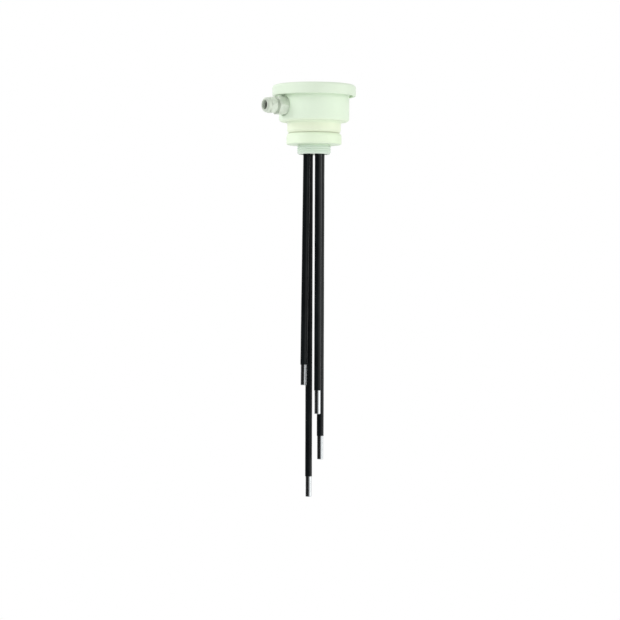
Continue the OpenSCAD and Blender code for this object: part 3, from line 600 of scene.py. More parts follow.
def closedEnds(grid):
    # Both ends of a swept tube drawn together to a point in their middle
    first = np.repeat(grid[:1].mean(axis=1, keepdims=True), grid.shape[1], axis=1)
    last = np.repeat(grid[-1:].mean(axis=1, keepdims=True), grid.shape[1], axis=1)
    return np.concatenate([first, grid, last])


def gridFaces(rows, columns, closedRows):
    # Squares between neighbouring rows and columns; the last column always meets the first
    index = np.arange(rows * columns).reshape(rows, columns)
    if closedRows:
        index = np.vstack([index, index[:1]])
    index = np.hstack([index, index[:, :1]])
    corners = [index[:-1, :-1], index[:-1, 1:], index[1:, 1:], index[1:, :-1]]
    return np.stack(corners, axis=-1).reshape(-1, 4)


def meshObject(name, grids, closedRows=False):
    # One object from one or more grids; doubles at poles and seams are merged and faces turned outwards
    points, faces, start = [], [], 0
    for grid in grids:
        points.append(grid.reshape(-1, 3))
        faces.append(gridFaces(grid.shape[0], grid.shape[1], closedRows) + start)
        start += grid.shape[0] * grid.shape[1]
    mesh = bpy.data.meshes.new(name)
    mesh.from_pydata(np.concatenate(points).tolist(), [], np.concatenate(faces).tolist())
    work = bmesh.new()
    work.from_mesh(mesh)
    bmesh.ops.remove_doubles(work, verts=work.verts, dist=1e-7)
    bmesh.ops.recalc_face_normals(work, faces=work.faces)
    work.to_mesh(mesh)
    work.free()
    mesh.shade_smooth()
    return newObject(name, mesh)


def turnedPiece(name, corners, columns, radiusAt=None, closed=False, longest=None, lay=None, steps=5):
    # A turned shape from its profile's corners; lay carries its points to their place
    profile = roundedProfile(corners, steps, closed=closed)
    if longest:
        profile = finerProfile(profile, longest, closed)
    grid = turnedGrid(profile, columns, radiusAt)
    return meshObject(name, [lay(grid) if lay else grid], closedRows=closed)


def barCorners(radius, low, high, arc=0):
    # Profile of a plain round bar on the axis, with its top edge rounded
    return [(0, low, 0), (radius, low, 0), (radius, high, arc), (0, high, 0)]


def ringCorners(inner, outer, start, end, arcs):
    # Profile of a plain ring, from the inner corner at its start and on round
    places = ((inner, start), (outer, start), (outer, end), (inner, end))
    return [(*place, arc) for place, arc in zip(places, arcs)]


def coat(thing, material):
    thing.data.materials.clear()
    thing.data.materials.append(materials[material])


def dress(thing, material, slotName, body, *nodes):
    coat(thing, material)
    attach(thing, body)
    if nodes:
        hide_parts(*nodes)


def applyModifiers(thing):
    bpy.context.view_layer.update()
    shaped = thing.evaluated_get(bpy.context.evaluated_depsgraph_get())
    mesh = bpy.data.meshes.new_from_object(shaped)
    thing.modifiers.clear()
    thing.data = mesh


def joinTo(thing, others, operation):
    # Cuts the others out of the thing, or joins them to it, and removes them
    for other in others:
        step = thing.modifiers.new("join", "BOOLEAN")
        step.operation = operation
        step.solver = "EXACT"
        step.object = other
    applyModifiers(thing)
    for other in others:
        bpy.data.objects.remove(other)


def weighNormals(thing):
    normals = thing.modifiers.new("flats", "WEIGHTED_NORMAL")
    normals.weight = 60
    return normals


def keepFlatsFlat(thing, sharpAngle):
    thing.data.shade_smooth()
    thing.data.set_sharp_from_angle(angle=math.radians(sharpAngle))
    weighNormals(thing).keep_sharp = True


def alongGland(points):
    # Turns +Z into -X about the head's middle, at the height of the gland's axis
    x, y, z = points[..., 0], points[..., 1], points[..., 2]
    return np.stack([-z, y, x + housingValues["glandHeight"]], axis=-1)


def cutThread(where, turn, height, radius, crest, pitch, depth):
    # Crest radius less a cosine wave that moves along the axis by one pitch a turn, and never outside
    # the plain profile
    wave = depth * (0.5 - 0.5 * np.cos(2 * np.pi * (height / pitch - turn / (2 * np.pi))))
    return np.where(where, np.minimum(radius, crest - wave), radius)


# Lid: a turned cap with a shallow recess on top, and under it a hub, ribs and a locating ring
lidValues = {
    "radius": 41.0 * mm,
    "innerRadius": 38.2 * mm,
    "foot": 47.3 * mm,
    "ceiling": 55.3 * mm,
    "top": 58.3 * mm,
    "shoulderArc": 3.0,  # round the top edge; arcs are in millimetres
    "footBevel": 0.6 * mm,
    "panelRadius": 32.0 * mm,
    "panelDepth": 0.6 * mm,
    "panelDraft": 0.35 * mm,
    "ringRadius": 33.4 * mm,
    "ringWidth": 1.2 * mm,
    "ringHeight": 3.0 * mm,
    "hubRadius": 5.0 * mm,
    "ribs": 6,
    "ribWidth": 1.4 * mm,
    "ribHeight": 2.0 * mm,
    "ribShort": 0.05 * mm,  # how much higher than the hub the ribs end
    "ribRoot": 0.4 * mm,  # how far they run into the ceiling, the hub and the locating ring
    "ribEnds": (0.5 * mm, 0.6 * mm),
    "ribRows": 12,
    "longest": 4 * mm,
    "sharpAngle": 50,
    "columns": 288,
}


def makeLid():
    v = Named(**lidValues)
    low = v.ceiling - v.ribHeight
    ringFoot = v.ceiling - v.ringHeight
    ringInner = v.ringRadius - v.ringWidth
    panel = v.top - v.panelDepth
    profile = roundedProfile([
        (0, low, 0), (v.hubRadius, low, 0.3), (v.hubRadius, v.ceiling, 0.4),
        (ringInner, v.ceiling, 0.3), (ringInner, ringFoot, 0.25),
        (v.ringRadius, ringFoot, 0.3), (v.ringRadius, v.ceiling, 0.2),
        (v.innerRadius, v.ceiling, 0.5), (v.innerRadius, v.foot, 0.35),
        (v.radius - v.footBevel, v.foot, 0.25), (v.radius, v.foot + v.footBevel, 0.3),
        (v.radius, v.top, v.shoulderArc), (v.panelRadius, v.top, 0.3),
        (v.panelRadius - v.panelDraft, panel, 0.3), (0, panel, 0),
    ], steps=8)
    grids = [turnedGrid(finerProfile(profile, v.longest), v.columns)]
    # Each rib is a rounded section carried from the hub out to the locating ring
    side, foot = v.ribWidth / 2, v.ribShort - v.ribHeight
    section = roundedProfile([
        (-side, v.ribRoot, 0), (-side, foot, 0.3), (side, foot, 0.3), (side, v.ribRoot, 0),
    ], steps=4, closed=True)
    inwards, outwards = v.ribEnds
    reach = np.linspace(v.hubRadius - inwards, ringInner + outwards, v.ribRows)
    for i in range(v.ribs):
        turn = math.radians((i + 0.5) * 360 / v.ribs)
        along = np.array([math.cos(turn), math.sin(turn), 0])
        aside = np.array([-math.sin(turn), math.cos(turn), 0])
        path = reach[:, None] * along + np.array([0, 0, v.ceiling])
        grids.append(closedEnds(sweptGrid(path, aside[None, :], np.array([[0, 0, 1.0]]), section)))
    lid = meshObject("screwLid", grids)
    keepFlatsFlat(lid, v.sharpAngle)
    dress(lid, "lidPlastic", "lid_plastic", "lid", "lid")


# Housing: neck, pot-shaped body and rim in one turned shape, with the gland's seats and three posts
housingValues = {
    "neckFoot": 11.6 * mm,
    "neckFloor": 14.6 * mm,
    "neckRadius": 26.25 * mm,
    "neckInner": 23.25 * mm,
    "shankHole": 17.15 * mm,
    "jointBevel": (1.0 * mm, 2.0 * mm),
    "bodyFoot": 22.3 * mm,
    "bodyFloor": 25.3 * mm,
    "bodyRadius": 34.5 * mm,
    "bodyInner": 31.5 * mm,
    "bodyArc": 3.0,  # arcs are in millimetres
    "neckArc": 1.2,
    "rimFoot": 47.8 * mm,
    "rimRadius": 36.9 * mm,
    "rimTop": 53.6 * mm,
    "rimBevel": 0.5 * mm,
    "mouthRadius": 33.8 * mm,
    "mouthFloor": 49.6 * mm,
    "postCircle": 26.35 * mm,
    "postTurns": [0, 115, -115],
    "postRadius": 2.9 * mm,
    "postTop": 33.5 * mm,
    "postColumns": 48,
    "pilotRadius": 1.3 * mm,
    "pilotDepth": 4.9 * mm,
    "pilotBevel": 0.3 * mm,
    "pilotOver": 0.2 * mm,  # how far its cutter stands out of the post
    "pilotColumns": 32,
    "seatInner": 29.6 * mm,
    "seatTop": 46.8 * mm,
    "spotFace": 33.0 * mm,
    "spotRadius": 10.0 * mm,
    "glandHeight": 36.7 * mm,
    "glandHole": 7.75 * mm,
    "holeColumns": 128,
    "overlap": 0.5 * mm,  # how far joined shapes run into each other
    "clear": 1.0 * mm,  # how far cutters stand out of what they cut
    "longest": 2 * mm,
    "sharpAngle": 35,
    "columns": 288,
}


def blockObject(name, low, high):
    # Plain closed box, used only as a cutter or to be joined to a turned shape
    side = np.array([[0, 0], [1, 0], [1, 1], [0, 1]], float)
    rows = [np.column_stack([np.full((4, 2), 0.5), np.full(4, level)]) for level in (0.0, 1.0)]
    bottom, top = np.column_stack([side, np.zeros(4)]), np.column_stack([side, np.ones(4)])
    grid = np.stack([rows[0], bottom, top, rows[1]])
    low, high = np.array(low), np.array(high)
    return meshObject(name, [low + grid * (high - low)])


def makeHousing():
    v = Named(**housingValues)
    overlap, clear = v.overlap, v.clear
    bevelIn, bevelUp = v.jointBevel
    housing = turnedPiece("potHousing", [
        (v.shankHole, v.neckFoot, 0.25), (v.neckRadius - bevelIn, v.neckFoot, 0.2),
        (v.neckRadius, v.neckFoot + bevelUp, 0.5),
        (v.neckRadius, v.bodyFoot, v.neckArc), (v.bodyRadius, v.bodyFoot, v.bodyArc),
        (v.bodyRadius, v.rimFoot, 0.6),
        (v.rimRadius, v.rimFoot + v.rimRadius - v.bodyRadius, 0.3),
        (v.rimRadius, v.rimTop - v.rimBevel, 0.2),
        (v.rimRadius - v.rimBevel, v.rimTop, 0.2),
        (v.mouthRadius, v.rimTop, 0.3), (v.mouthRadius, v.mouthFloor, 0.4),
        (v.bodyInner, v.mouthFloor - v.mouthRadius + v.bodyInner, 0.5),
        (v.bodyInner, v.bodyFloor, 0.8), (v.neckInner, v.bodyFloor, 0.4),
        (v.neckInner, v.neckFloor, 0.6), (v.shankHole, v.neckFloor, 0.2),
    ], v.columns, closed=True, longest=v.longest, steps=8)
    # Flat seat for the gland's nut, cut to the inside of the wall by a wider turned shape
    wall = v.bodyInner + overlap
    reach = math.sqrt(wall ** 2 - v.seatInner ** 2)
    seat = blockObject("seatBlock", (-wall, -reach, v.bodyFloor - overlap),
                       (-v.seatInner, reach, v.seatTop))
    core = barCorners(wall, v.bodyFloor - clear, v.seatTop + clear)
    joinTo(seat, [turnedPiece("seatCore", core, v.columns)], "INTERSECT")
    posts, pilots = [], []
    post = barCorners(v.postRadius, v.bodyFloor - overlap, v.postTop, 0.3)
    pilotFloor = v.postTop - v.pilotDepth
    mouth = v.pilotRadius + (v.pilotBevel + v.pilotOver)
    pilot = [
        (0, pilotFloor, 0), (v.pilotRadius, pilotFloor, 0),
        (v.pilotRadius, v.postTop - v.pilotBevel, 0),
        (mouth, v.postTop + v.pilotOver, 0), (0, v.postTop + v.pilotOver, 0),
    ]
    for i, turn in enumerate(v.postTurns):
        place = np.array([math.cos(math.radians(turn)), math.sin(math.radians(turn)), 0]) * v.postCircle
        posts.append(turnedPiece(f"post{i}", post, v.postColumns, lay=lambda points: points + place))
        pilots.append(turnedPiece(f"pilot{i}", pilot, v.pilotColumns, lay=lambda points: points + place))
    joinTo(housing, [seat, *posts], "UNION")
    start, end = v.seatInner - clear, v.bodyRadius + clear
    hole = turnedPiece("glandHoleCutter", [
        (0, start, 0), (v.glandHole, start, 0), (v.glandHole, v.spotFace, 0),
        (v.spotRadius, v.spotFace, 0), (v.spotRadius, end, 0), (0, end, 0),
    ], v.holeColumns, lay=alongGland)
    joinTo(housing, [hole, *pilots], "DIFFERENCE")
    keepFlatsFlat(housing, v.sharpAngle)
    dress(housing, "housingPlastic", "housing_plastic", "root", "housing")


# Coarse thread between lid and rim: one rounded ridge on each, half a pitch apart
lidThreadValues = {
    "pitch": 3.0 * mm,
    "height": 0.62 * mm,
    "width": 1.15 * mm,
    "crestShare": 0.35,  # the crest's width against the foot's
    "sink": 0.4 * mm,  # how far the ridge runs into its wall
    "fadeShare": 0.1,  # over this much of its length, at each end, it fades
    "fadeLow": 0.02,
    "lidTurns": (48.6 * mm, 1.43),  # height of its start and how many turns
    "rimTurns": (50.75 * mm, 0.6),
    "stepsPerTurn": 144,
}


def threadRidge(name, radius, outwards, startHeight, turns, phase):
    # A low rounded section carried along a helix, which fades into the wall at both ends
    v = Named(**lidThreadValues)
    share = np.linspace(0, 1, int(v.stepsPerTurn * turns))
    turn = share * turns * 2 * np.pi
    height = startHeight + v.pitch * turn / (2 * np.pi)
    turn = turn + phase
    outward = np.stack([np.cos(turn), np.sin(turn), 0 * turn], axis=-1)
    path = outward * radius + np.stack([0 * turn, 0 * turn, height], axis=-1)
    fade = np.clip(np.minimum(share, 1 - share) / v.fadeShare, 0, 1)
    fade = np.sqrt(1 - (1 - fade) ** 2) * (1 - v.fadeLow) + v.fadeLow
    half = v.width / 2
    crest = half * v.crestShare
    section = roundedProfile([
        (-v.sink, -half, 0), (-v.sink, half, 0), (0, half, 0.1),
        (v.height, crest, 0.15), (v.height, -crest, 0.15), (0, -half, 0.1),
    ], steps=4, closed=True)
    sign = 1 if outwards else -1
    reach = np.where(section[None, :, 0] > 0, section[None, :, 0] * fade[:, None], section[None, :, 0])
    grid = (path[:, None, :] + outward[:, None, :] * (sign * reach)[..., None]
            + np.array([0, 0, 1.0]) * section[None, :, 1, None])
    return meshObject(name, [closedEnds(grid)])


def makeLidThreads():
    v = Named(**lidThreadValues)
    start, turns = v.lidTurns
    inner = threadRidge("lidThreadRidge", lidValues["innerRadius"], False, start, turns, 0.0)
    dress(inner, "lidPlastic", "lid_plastic", "lid")
    start, turns = v.rimTurns
    # Half a pitch higher than the lid's ridge at the same turn
    phase = (start - v.lidTurns[0] - v.pitch / 2) / v.pitch * 2 * np.pi
    outer = threadRidge("rimThreadRidge", housingValues["rimRadius"], True, start, turns, phase)
    dress(outer, "housingPlastic", "housing_plastic", "root")


# Connector: ring, threaded boss and the shank inside the head, round a stepped hole
connectorValues = {
    "bossRadius": 16.625 * mm,
    "ringRadius": 27.0 * mm,
    "shankRadius": 17.0 * mm,
    "ringTop": 10.4 * mm,
    "ringEdge": 0.8 * mm,
    "jointBevel": (1.0 * mm, 2.0 * mm),
    "bossBevel": 1.0 * mm,
    "bossLead": 0.6 * mm,  # the boss's bevel runs this much further, into the thread
    "threadPitch": 2.309 * mm,  # eleven threads to the inch
    "threadDepth": 0.75 * mm,
    "threadRelief": 1.5 * mm,  # plain groove between the thread and the ring
    "reliefSlope": 0.7 * mm,
    "shankBevel": 0.5 * mm,
    "shankPitch": 1.5 * mm,
    "shankThread": (12.2 * mm, 19.4 * mm),
    "shankDepth": 0.5 * mm,
    "holeRadius": 12.7 * mm,
    "stepRadius": 14.2 * mm,
    "stepHeight": 11.56 * mm,
    "outsideFrom": 0.3 * mm,  # past the step's radius, where the outer wall is told from the hole
    "plainRows": (0.1 * mm, 0.5 * mm),  # plain up to this past the step, and from this past the shank
    "plainEvery": 4,  # of the plain rows only one in so many is kept, because only threads need them all
    "rowGap": 0.12 * mm,
    "columns": 192,
}


def bossRadiusAt(turn, height, radius):
    # A coarse thread on the boss and a finer one on the shank; the hole inside them stays plain
    v = Named(**connectorValues)
    outside = radius > v.stepRadius + v.outsideFrom
    foot, (low, high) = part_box("process_connector")[0].z, v.shankThread
    onBoss = (height > foot + 1e-6) & (height < -v.threadRelief) & outside
    onShank = (height > low) & (height < high) & outside
    radius = cutThread(onBoss, turn, height, radius, v.bossRadius, v.threadPitch, v.threadDepth)
    return cutThread(onShank, turn, height, radius, v.shankRadius, v.shankPitch, v.shankDepth)


def makeConnector():
    v = Named(**connectorValues)
    low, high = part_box("process_connector")
    root = v.bossRadius - v.threadDepth
    bevelIn, bevelDown = v.jointBevel
    profile = roundedProfile([
        (v.holeRadius, low.z, 0.4),
        (v.bossRadius - v.bossBevel - v.bossLead, low.z, 0.15),
        (v.bossRadius, low.z + v.bossBevel + v.bossLead, 0.1),
        (v.bossRadius, -v.threadRelief, 0.1), (root, -v.threadRelief + v.reliefSlope, 0.25),
        (root, 0, 0.3), (v.ringRadius - v.ringEdge, 0, 0.3),
        (v.ringRadius, v.ringEdge, 0.4), (v.ringRadius, v.ringTop - bevelDown, 0.3),
        (v.ringRadius - bevelIn, v.ringTop, 0.2), (v.shankRadius, v.ringTop, 0.2),
        (v.shankRadius, high.z - v.shankBevel, 0.15),
        (v.shankRadius - v.shankBevel, high.z, 0.15),
        (v.stepRadius, high.z, 0.3), (v.stepRadius, v.stepHeight, 0.15),
        (v.holeRadius, v.stepHeight, 0.15),
    ], closed=True)
    profile = finerProfile(profile, v.rowGap, closed=True)
    inner, outer = v.plainRows
    wide = (profile[:, 0] > v.shankRadius + outer) | (profile[:, 0] < v.stepRadius + inner)
    keep = np.ones(len(profile), bool)
    keep[wide] = np.arange(wide.sum()) % v.plainEvery == 0
    grid = turnedGrid(profile[keep], v.columns, bossRadiusAt)
    connector = meshObject("processConnector", [grid], closedRows=True)
    dress(connector, "connectorPlastic", "connector_plastic", "root", "process_connector")


# Holder: a stepped plug with a bore for each rod, which widens for the rod's collar
holderValues = {
    "foot": -8.8 * mm,
    "radius": 12.65 * mm,
    "topRadius": 14.15 * mm,
    "shoulder": 12.56 * mm,
    "top": 20.0 * mm,
    "bevel": 0.4 * mm,
    "boreRadius": 3.5 * mm,
    "boreBevel": 0.45 * mm,
    "boreOver": 0.02 * mm,  # how far the bevel's cutter stands out of the foot
    "collarBore": 5.0 * mm,
    "collarFloor": 14.76 * mm,
    "screwRadius": 1.45 * mm,
    "screwFloor": 9.0 * mm,
    "clear": (2.0 * mm, 1.0 * mm),  # how far cutters stand out of the foot and the top
    "longest": 2 * mm,
    "sharpAngle": 40,
    "columns": 192,
    "boreColumns": 64,
    "screwColumns": 48,
}


def makeHolder():
    v = Named(**holderValues)
    holder = turnedPiece("rodHolder", [
        (0, v.foot, 0), (v.radius - v.bevel, v.foot, 0.15),
        (v.radius, v.foot + v.bevel, 0.15), (v.radius, v.shoulder, 0.15),
        (v.topRadius, v.shoulder, 0.2), (v.topRadius, v.top, 0.3), (0, v.top, 0),
    ], v.columns, longest=v.longest)
    start, end = v.foot - v.clear[0], v.top + v.clear[1]
    wide = v.boreRadius + v.boreBevel
    bore = [
        (0, start, 0), (wide, start, 0), (wide, v.foot - v.boreOver, 0),
        (v.boreRadius, v.foot + (v.boreBevel - v.boreOver), 0),
        (v.boreRadius, v.collarFloor, 0), (v.collarBore, v.collarFloor, 0),
        (v.collarBore, end, 0), (0, end, 0),
    ]
    cutters = [rodPiece(f"boreCutter{i}", i, bore, v.boreColumns) for i in range(4)]
    screw = barCorners(v.screwRadius, v.screwFloor, end)
    cutters.append(turnedPiece("screwCutter", screw, v.screwColumns))
    joinTo(holder, cutters, "DIFFERENCE")
    keepFlatsFlat(holder, v.sharpAngle)
    dress(holder, "holderPlastic", "holder_plastic", "root", "rod_holder")


# Rods and sleeves: four of each on one circle, the first of them leaning a little
rodValues = {
    "circleRadius": 8.25 * mm,
    "turns": [180, 90, 270, 0],
    "leans": [0.6, 0, 0, 0],
    "leanTowards": 149,  # compass angle that the leaning rod's tip goes to
    "bossFoot": -9.4 * mm,
    "lengths": [226 * mm, 336 * mm, 254 * mm, 299 * mm],
    "tips": [20 * mm, 20 * mm, 23 * mm, 23 * mm],
    "radius": 3.0 * mm,
    "tipBevel": 0.4 * mm,
    "collar": (16.3 * mm, 19.9 * mm),
    "studRadius": 2.5 * mm,
    "studTop": 32.4 * mm,
    "studBevel": 0.5 * mm,
    "studPitch": 0.8 * mm,
    "studDepth": 0.45 * mm,
    "studPlain": 2.6 * mm,  # between the collar and the thread
    "studCore": 1.6 * mm,  # the thread leaves everything inside this radius alone
    "studRows": 10,  # for each pitch
    "studRowsFrom": 0.3 * mm,  # above the collar, where the finer rows start
    "sleeveRadius": 3.4 * mm,
    "sleeveGap": 0.005 * mm,
    "sleeveSkin": 3.2 * mm,  # points past this radius are on the tube's outside
    "sway": 0.012 * mm,
    "swayWaves": (210, 74),  # radians a metre, for waves of about 30 and 85 mm
    "swayInset": 0.02 * mm,
    "swayTop": -10 * mm,
    "longest": 4 * mm,
    "columns": 72,
}


def ontoRod(points, i):
    # From the main axis onto rod i's own line: shifted to its place on the circle, then leaned about
    # the point where that line meets the boss's underside
    v = Named(**rodValues)
    turn = math.radians(v.turns[i])
    lean = math.radians(v.leans[i])
    towards = math.radians(v.leanTowards)
    pivot = np.array([v.circleRadius * math.cos(turn), v.circleRadius * math.sin(turn), v.bossFoot])
    axis = np.array([math.sin(towards), -math.cos(towards), 0])
    flat = points - np.array([0, 0, v.bossFoot])
    turned = (flat * math.cos(lean) + np.cross(axis, flat) * math.sin(lean)
              + axis * (flat @ axis)[..., None] * (1 - math.cos(lean)))
    return turned + pivot


def rodPiece(name, i, corners, columns, **options):
    return turnedPiece(name, corners, columns, lay=lambda points: ontoRod(points, i), **options)


def studRadiusAt(turn, height, radius):
    v = Named(**rodValues)
    onStud = (height > v.collar[1] + v.studPlain) & (height < v.studTop - 1e-6)
    onStud &= radius > v.studCore
    return cutThread(onStud, turn, height, radius, v.studRadius, v.studPitch, v.studDepth)


def sleeveRadiusAt(turn, height, radius):
    # A shrunk tube is never quite even: two slow sine waves, along it and round it, move its outside
    # by about two hundredths of a millimetre
    v = Named(**rodValues)
    short, long = v.swayWaves
    sway = v.sway * (np.sin(height * short + turn) + np.sin(height * long - 2 * turn))
    swaying = (radius > v.sleeveSkin) & (height < v.swayTop)
    return np.where(swaying, radius + sway - v.swayInset, radius)


def makeRods():
    v = Named(**rodValues)
    low, high = v.collar
    for i, (length, tip) in enumerate(zip(v.lengths, v.tips)):
        foot = v.bossFoot - length
        shaft = roundedProfile([
            (0, foot, 0), (v.radius - v.tipBevel, foot, 0.12),
            (v.radius, foot + v.tipBevel, 0.12), (v.radius, high, 0.1),
            (v.studRadius, high, 0.1), (v.studRadius, v.studTop - v.studBevel, 0.1),
            (v.studRadius - v.studBevel, v.studTop, 0.1), (0, v.studTop, 0),
        ])
        stud = shaft[:, 1] > high + v.studRowsFrom
        thread = finerProfile(shaft[stud], v.studPitch / v.studRows)
        shaft = np.concatenate([shaft[~stud], thread])
        rod = meshObject(f"electrodeRod{i + 1}", [ontoRod(turnedGrid(shaft, v.columns, studRadiusAt), i)])
        dress(rod, "rodSteel", "rod_steel", "root", f"rod_{i + 1}")
        inner = v.radius + v.sleeveGap
        corners = ringCorners(inner, v.sleeveRadius, foot + tip, low, (0.12, 0.16, 0.1, 0.05))
        sleeve = rodPiece(f"rodSleeve{i + 1}", i, corners, v.columns, radiusAt=sleeveRadiusAt,
                          closed=True, longest=v.longest)
        dress(sleeve, "sleeveBlack", "sleeve_black", "root", f"sleeve_{i + 1}")


# Gland: hexagonal body, washer, cap nut and what is inside them, all along -X
glandValues = {
    "hexStart": 34.2 * mm,
    "hexEnd": 42.8 * mm,
    "hexFlats": 17.0 * mm,
    "hexBevel": 0.7 * mm,
    "hexOver": 0.1 * mm,  # the plain profile stands this far out past the hexagon's corners
    "hexSoft": 0.15 * mm,  # how softly the sides run into the turned-down corners
    "shankStart": 25.6 * mm,
    "shankRadius": 7.6 * mm,
    "shankBevel": 0.6 * mm,
    "shankPitch": 1.41 * mm,
    "shankThreadEnd": 29.4 * mm,
    "spigotEnd": 50.6 * mm,
    "spigotRadius": 5.8 * mm,
    "spigotBevel": 0.5 * mm,
    "spigotPitch": 1.5 * mm,
    "spigotPlain": 0.7 * mm,  # between the hexagon and the thread
    "threadDepth": 0.6 * mm,
    # Threads and hexagon take in only points this far outside the spigot, the seat and the shank
    "onShank": 0.9 * mm,
    "onSpigot": 0.4 * mm,
    "onHexagon": 0.05 * mm,
    "slack": 0.01 * mm,  # along the axis, past both ends of a hexagon
    "wayRadius": 3.7 * mm,
    "seatRadius": 4.7 * mm,
    "seatStart": 44.8 * mm,
    "nutStart": 44.8 * mm,
    "nutHex": (47.0 * mm, 51.2 * mm),
    "nutFlats": 15.0 * mm,
    "nutRise": 0.46 * mm,  # height of its turned-down corners
    "nutCollars": (0.3 * mm, 0.2 * mm),  # how far the round parts are inside the flats
    "nutShoulder": 52.3 * mm,
    "nutEnd": 56.2 * mm,
    "nutBore": 6.0 * mm,
    "nutMouth": 4.7 * mm,
    "mouthBevel": 0.7 * mm,
    "domeArc": 2.2,  # arcs are in millimetres
    "washerStart": 33.0 * mm,
    "washerGap": 0.05 * mm,  # round the shank
    "washerRadius": 9.2 * mm,
    "insertRadii": (3.0 * mm, 4.6 * mm),
    "insertEnd": 51.4 * mm,
    "slipRingRadii": (3.7 * mm, 5.6 * mm),
    "rowGaps": (0.14 * mm, 0.2 * mm),  # on the body and the nut
    "bodyColumns": 192,  # fewer than the nut's, because its threads take so many rows
    "nutColumns": 288,
    "ringColumns": 144,
}


def cutHexagon(turn, height, radius, low, high, inner, flats):
    # Distance from the axis to a hexagon's side, with flats at 0, 60, 120 degrees and so on, or the
    # radius where that is smaller, rounded over where the two are close
    v = Named(**glandValues)
    soft, slack = v.hexSoft, v.slack
    sixth = np.mod(turn + np.pi / 6, np.pi / 3) - np.pi / 6
    side = flats / 2 / np.cos(sixth)
    gap = np.clip(0.5 + 0.5 * (side - radius) / soft, 0, 1)
    smaller = side + (radius - side) * gap - soft * gap * (1 - gap)
    onHexagon = (height > low - slack) & (height < high + slack) & (radius > inner)
    return np.where(onHexagon, smaller, radius)


def glandThreadAt(turn, height, radius):
    # Threads on the shank and on the spigot, and the hexagon between them
    v = Named(**glandValues)
    onShank = (radius > v.spigotRadius + v.onShank) & (height < v.shankThreadEnd)
    onSpigot = (height > v.hexEnd + v.spigotPlain) & (radius > v.seatRadius + v.onSpigot)
    radius = cutThread(onShank, turn, height, radius, v.shankRadius, v.shankPitch, v.threadDepth)
    radius = cutThread(onSpigot, turn, height, radius, v.spigotRadius, v.spigotPitch, v.threadDepth)
    inner = v.shankRadius + v.onHexagon
    return cutHexagon(turn, height, radius, v.hexStart, v.hexEnd, inner, v.hexFlats)


def glandNutAt(turn, height, radius):
    v = Named(**glandValues)
    return cutHexagon(turn, height, radius, *v.nutHex, v.nutFlats / 2 - v.hexSoft, v.nutFlats)


def hexagonCorners(start, end, flats, rise):
    # Profile of a hexagon's outside: its corners are turned down at both ends
    v = Named(**glandValues)
    corner = flats / 2 / math.cos(math.pi / 6)
    bevelled, beyond = corner - v.hexBevel, corner + v.hexOver
    return [
        (bevelled, start, 0.1), (beyond, start + rise, 0.05),
        (beyond, end - rise, 0.05), (bevelled, end, 0.1),
    ]


def makeGland():
    v = Named(**glandValues)
    bodyGap, nutGap = v.rowGaps
    rise = (v.hexBevel + v.hexOver) * math.tan(math.pi / 6)
    body = turnedPiece("glandBody", [
        (v.wayRadius, v.shankStart, 0.15),
        (v.shankRadius - v.shankBevel, v.shankStart, 0.1),
        (v.shankRadius, v.shankStart + v.shankBevel, 0.1), (v.shankRadius, v.hexStart, 0.1),
        *hexagonCorners(v.hexStart, v.hexEnd, v.hexFlats, rise),
        (v.spigotRadius, v.hexEnd, 0.15), (v.spigotRadius, v.spigotEnd - v.spigotBevel, 0.1),
        (v.spigotRadius - v.spigotBevel, v.spigotEnd, 0.1),
        (v.seatRadius, v.spigotEnd, 0.08), (v.seatRadius, v.seatStart, 0.08),
        (v.wayRadius, v.seatStart, 0.08),
    ], v.bodyColumns, glandThreadAt, closed=True, longest=bodyGap, lay=alongGland)
    dress(body, "glandNickel", "gland_metal", "root", "gland_body")

    low, high = v.nutHex
    before, after = (v.nutFlats / 2 - inside for inside in v.nutCollars)
    nut = turnedPiece("glandCapNut", [
        (v.nutBore, v.nutStart, 0.15), (before, v.nutStart, 0.3), (before, low, 0.08),
        *hexagonCorners(low, high, v.nutFlats, v.nutRise),
        (after, high, 0.08), (after, v.nutEnd, v.domeArc),
        (v.nutMouth + v.mouthBevel, v.nutEnd, 0.2),
        (v.nutMouth, v.nutEnd - v.mouthBevel, 0.2), (v.nutMouth, v.nutShoulder, 0.1),
        (v.nutBore, v.nutShoulder, 0.1),
    ], v.nutColumns, glandNutAt, closed=True, longest=nutGap, lay=alongGland)
    dress(nut, "glandNickel", "gland_metal", "gland_nut", "gland_nut")

    rings = [
        ("glandRingSeal", (v.shankRadius + v.washerGap, v.washerRadius),
         (v.washerStart, v.hexStart), (0.15, 0.35, 0.35, 0.15),
         ("washerRubber", "seal_rubber", "root", "gland_washer")),
        ("glandRubber", v.insertRadii, (v.seatStart, v.insertEnd), (0.2, 0.2, 0.3, 0.5),
         ("sealRubber", "seal_rubber", "root", "gland_insert")),
        ("glandSlipRing", v.slipRingRadii, (v.insertEnd, v.nutShoulder), (0.12,) * 4,
         ("slipRingPlastic", "ring_plastic", "gland_thrust_ring", "gland_thrust_ring")),
    ]
    for name, radii, reach, arcs, looks in rings:
        corners = ringCorners(*radii, *reach, arcs)
        dress(turnedPiece(name, corners, v.ringColumns, closed=True, lay=alongGland), *looks)


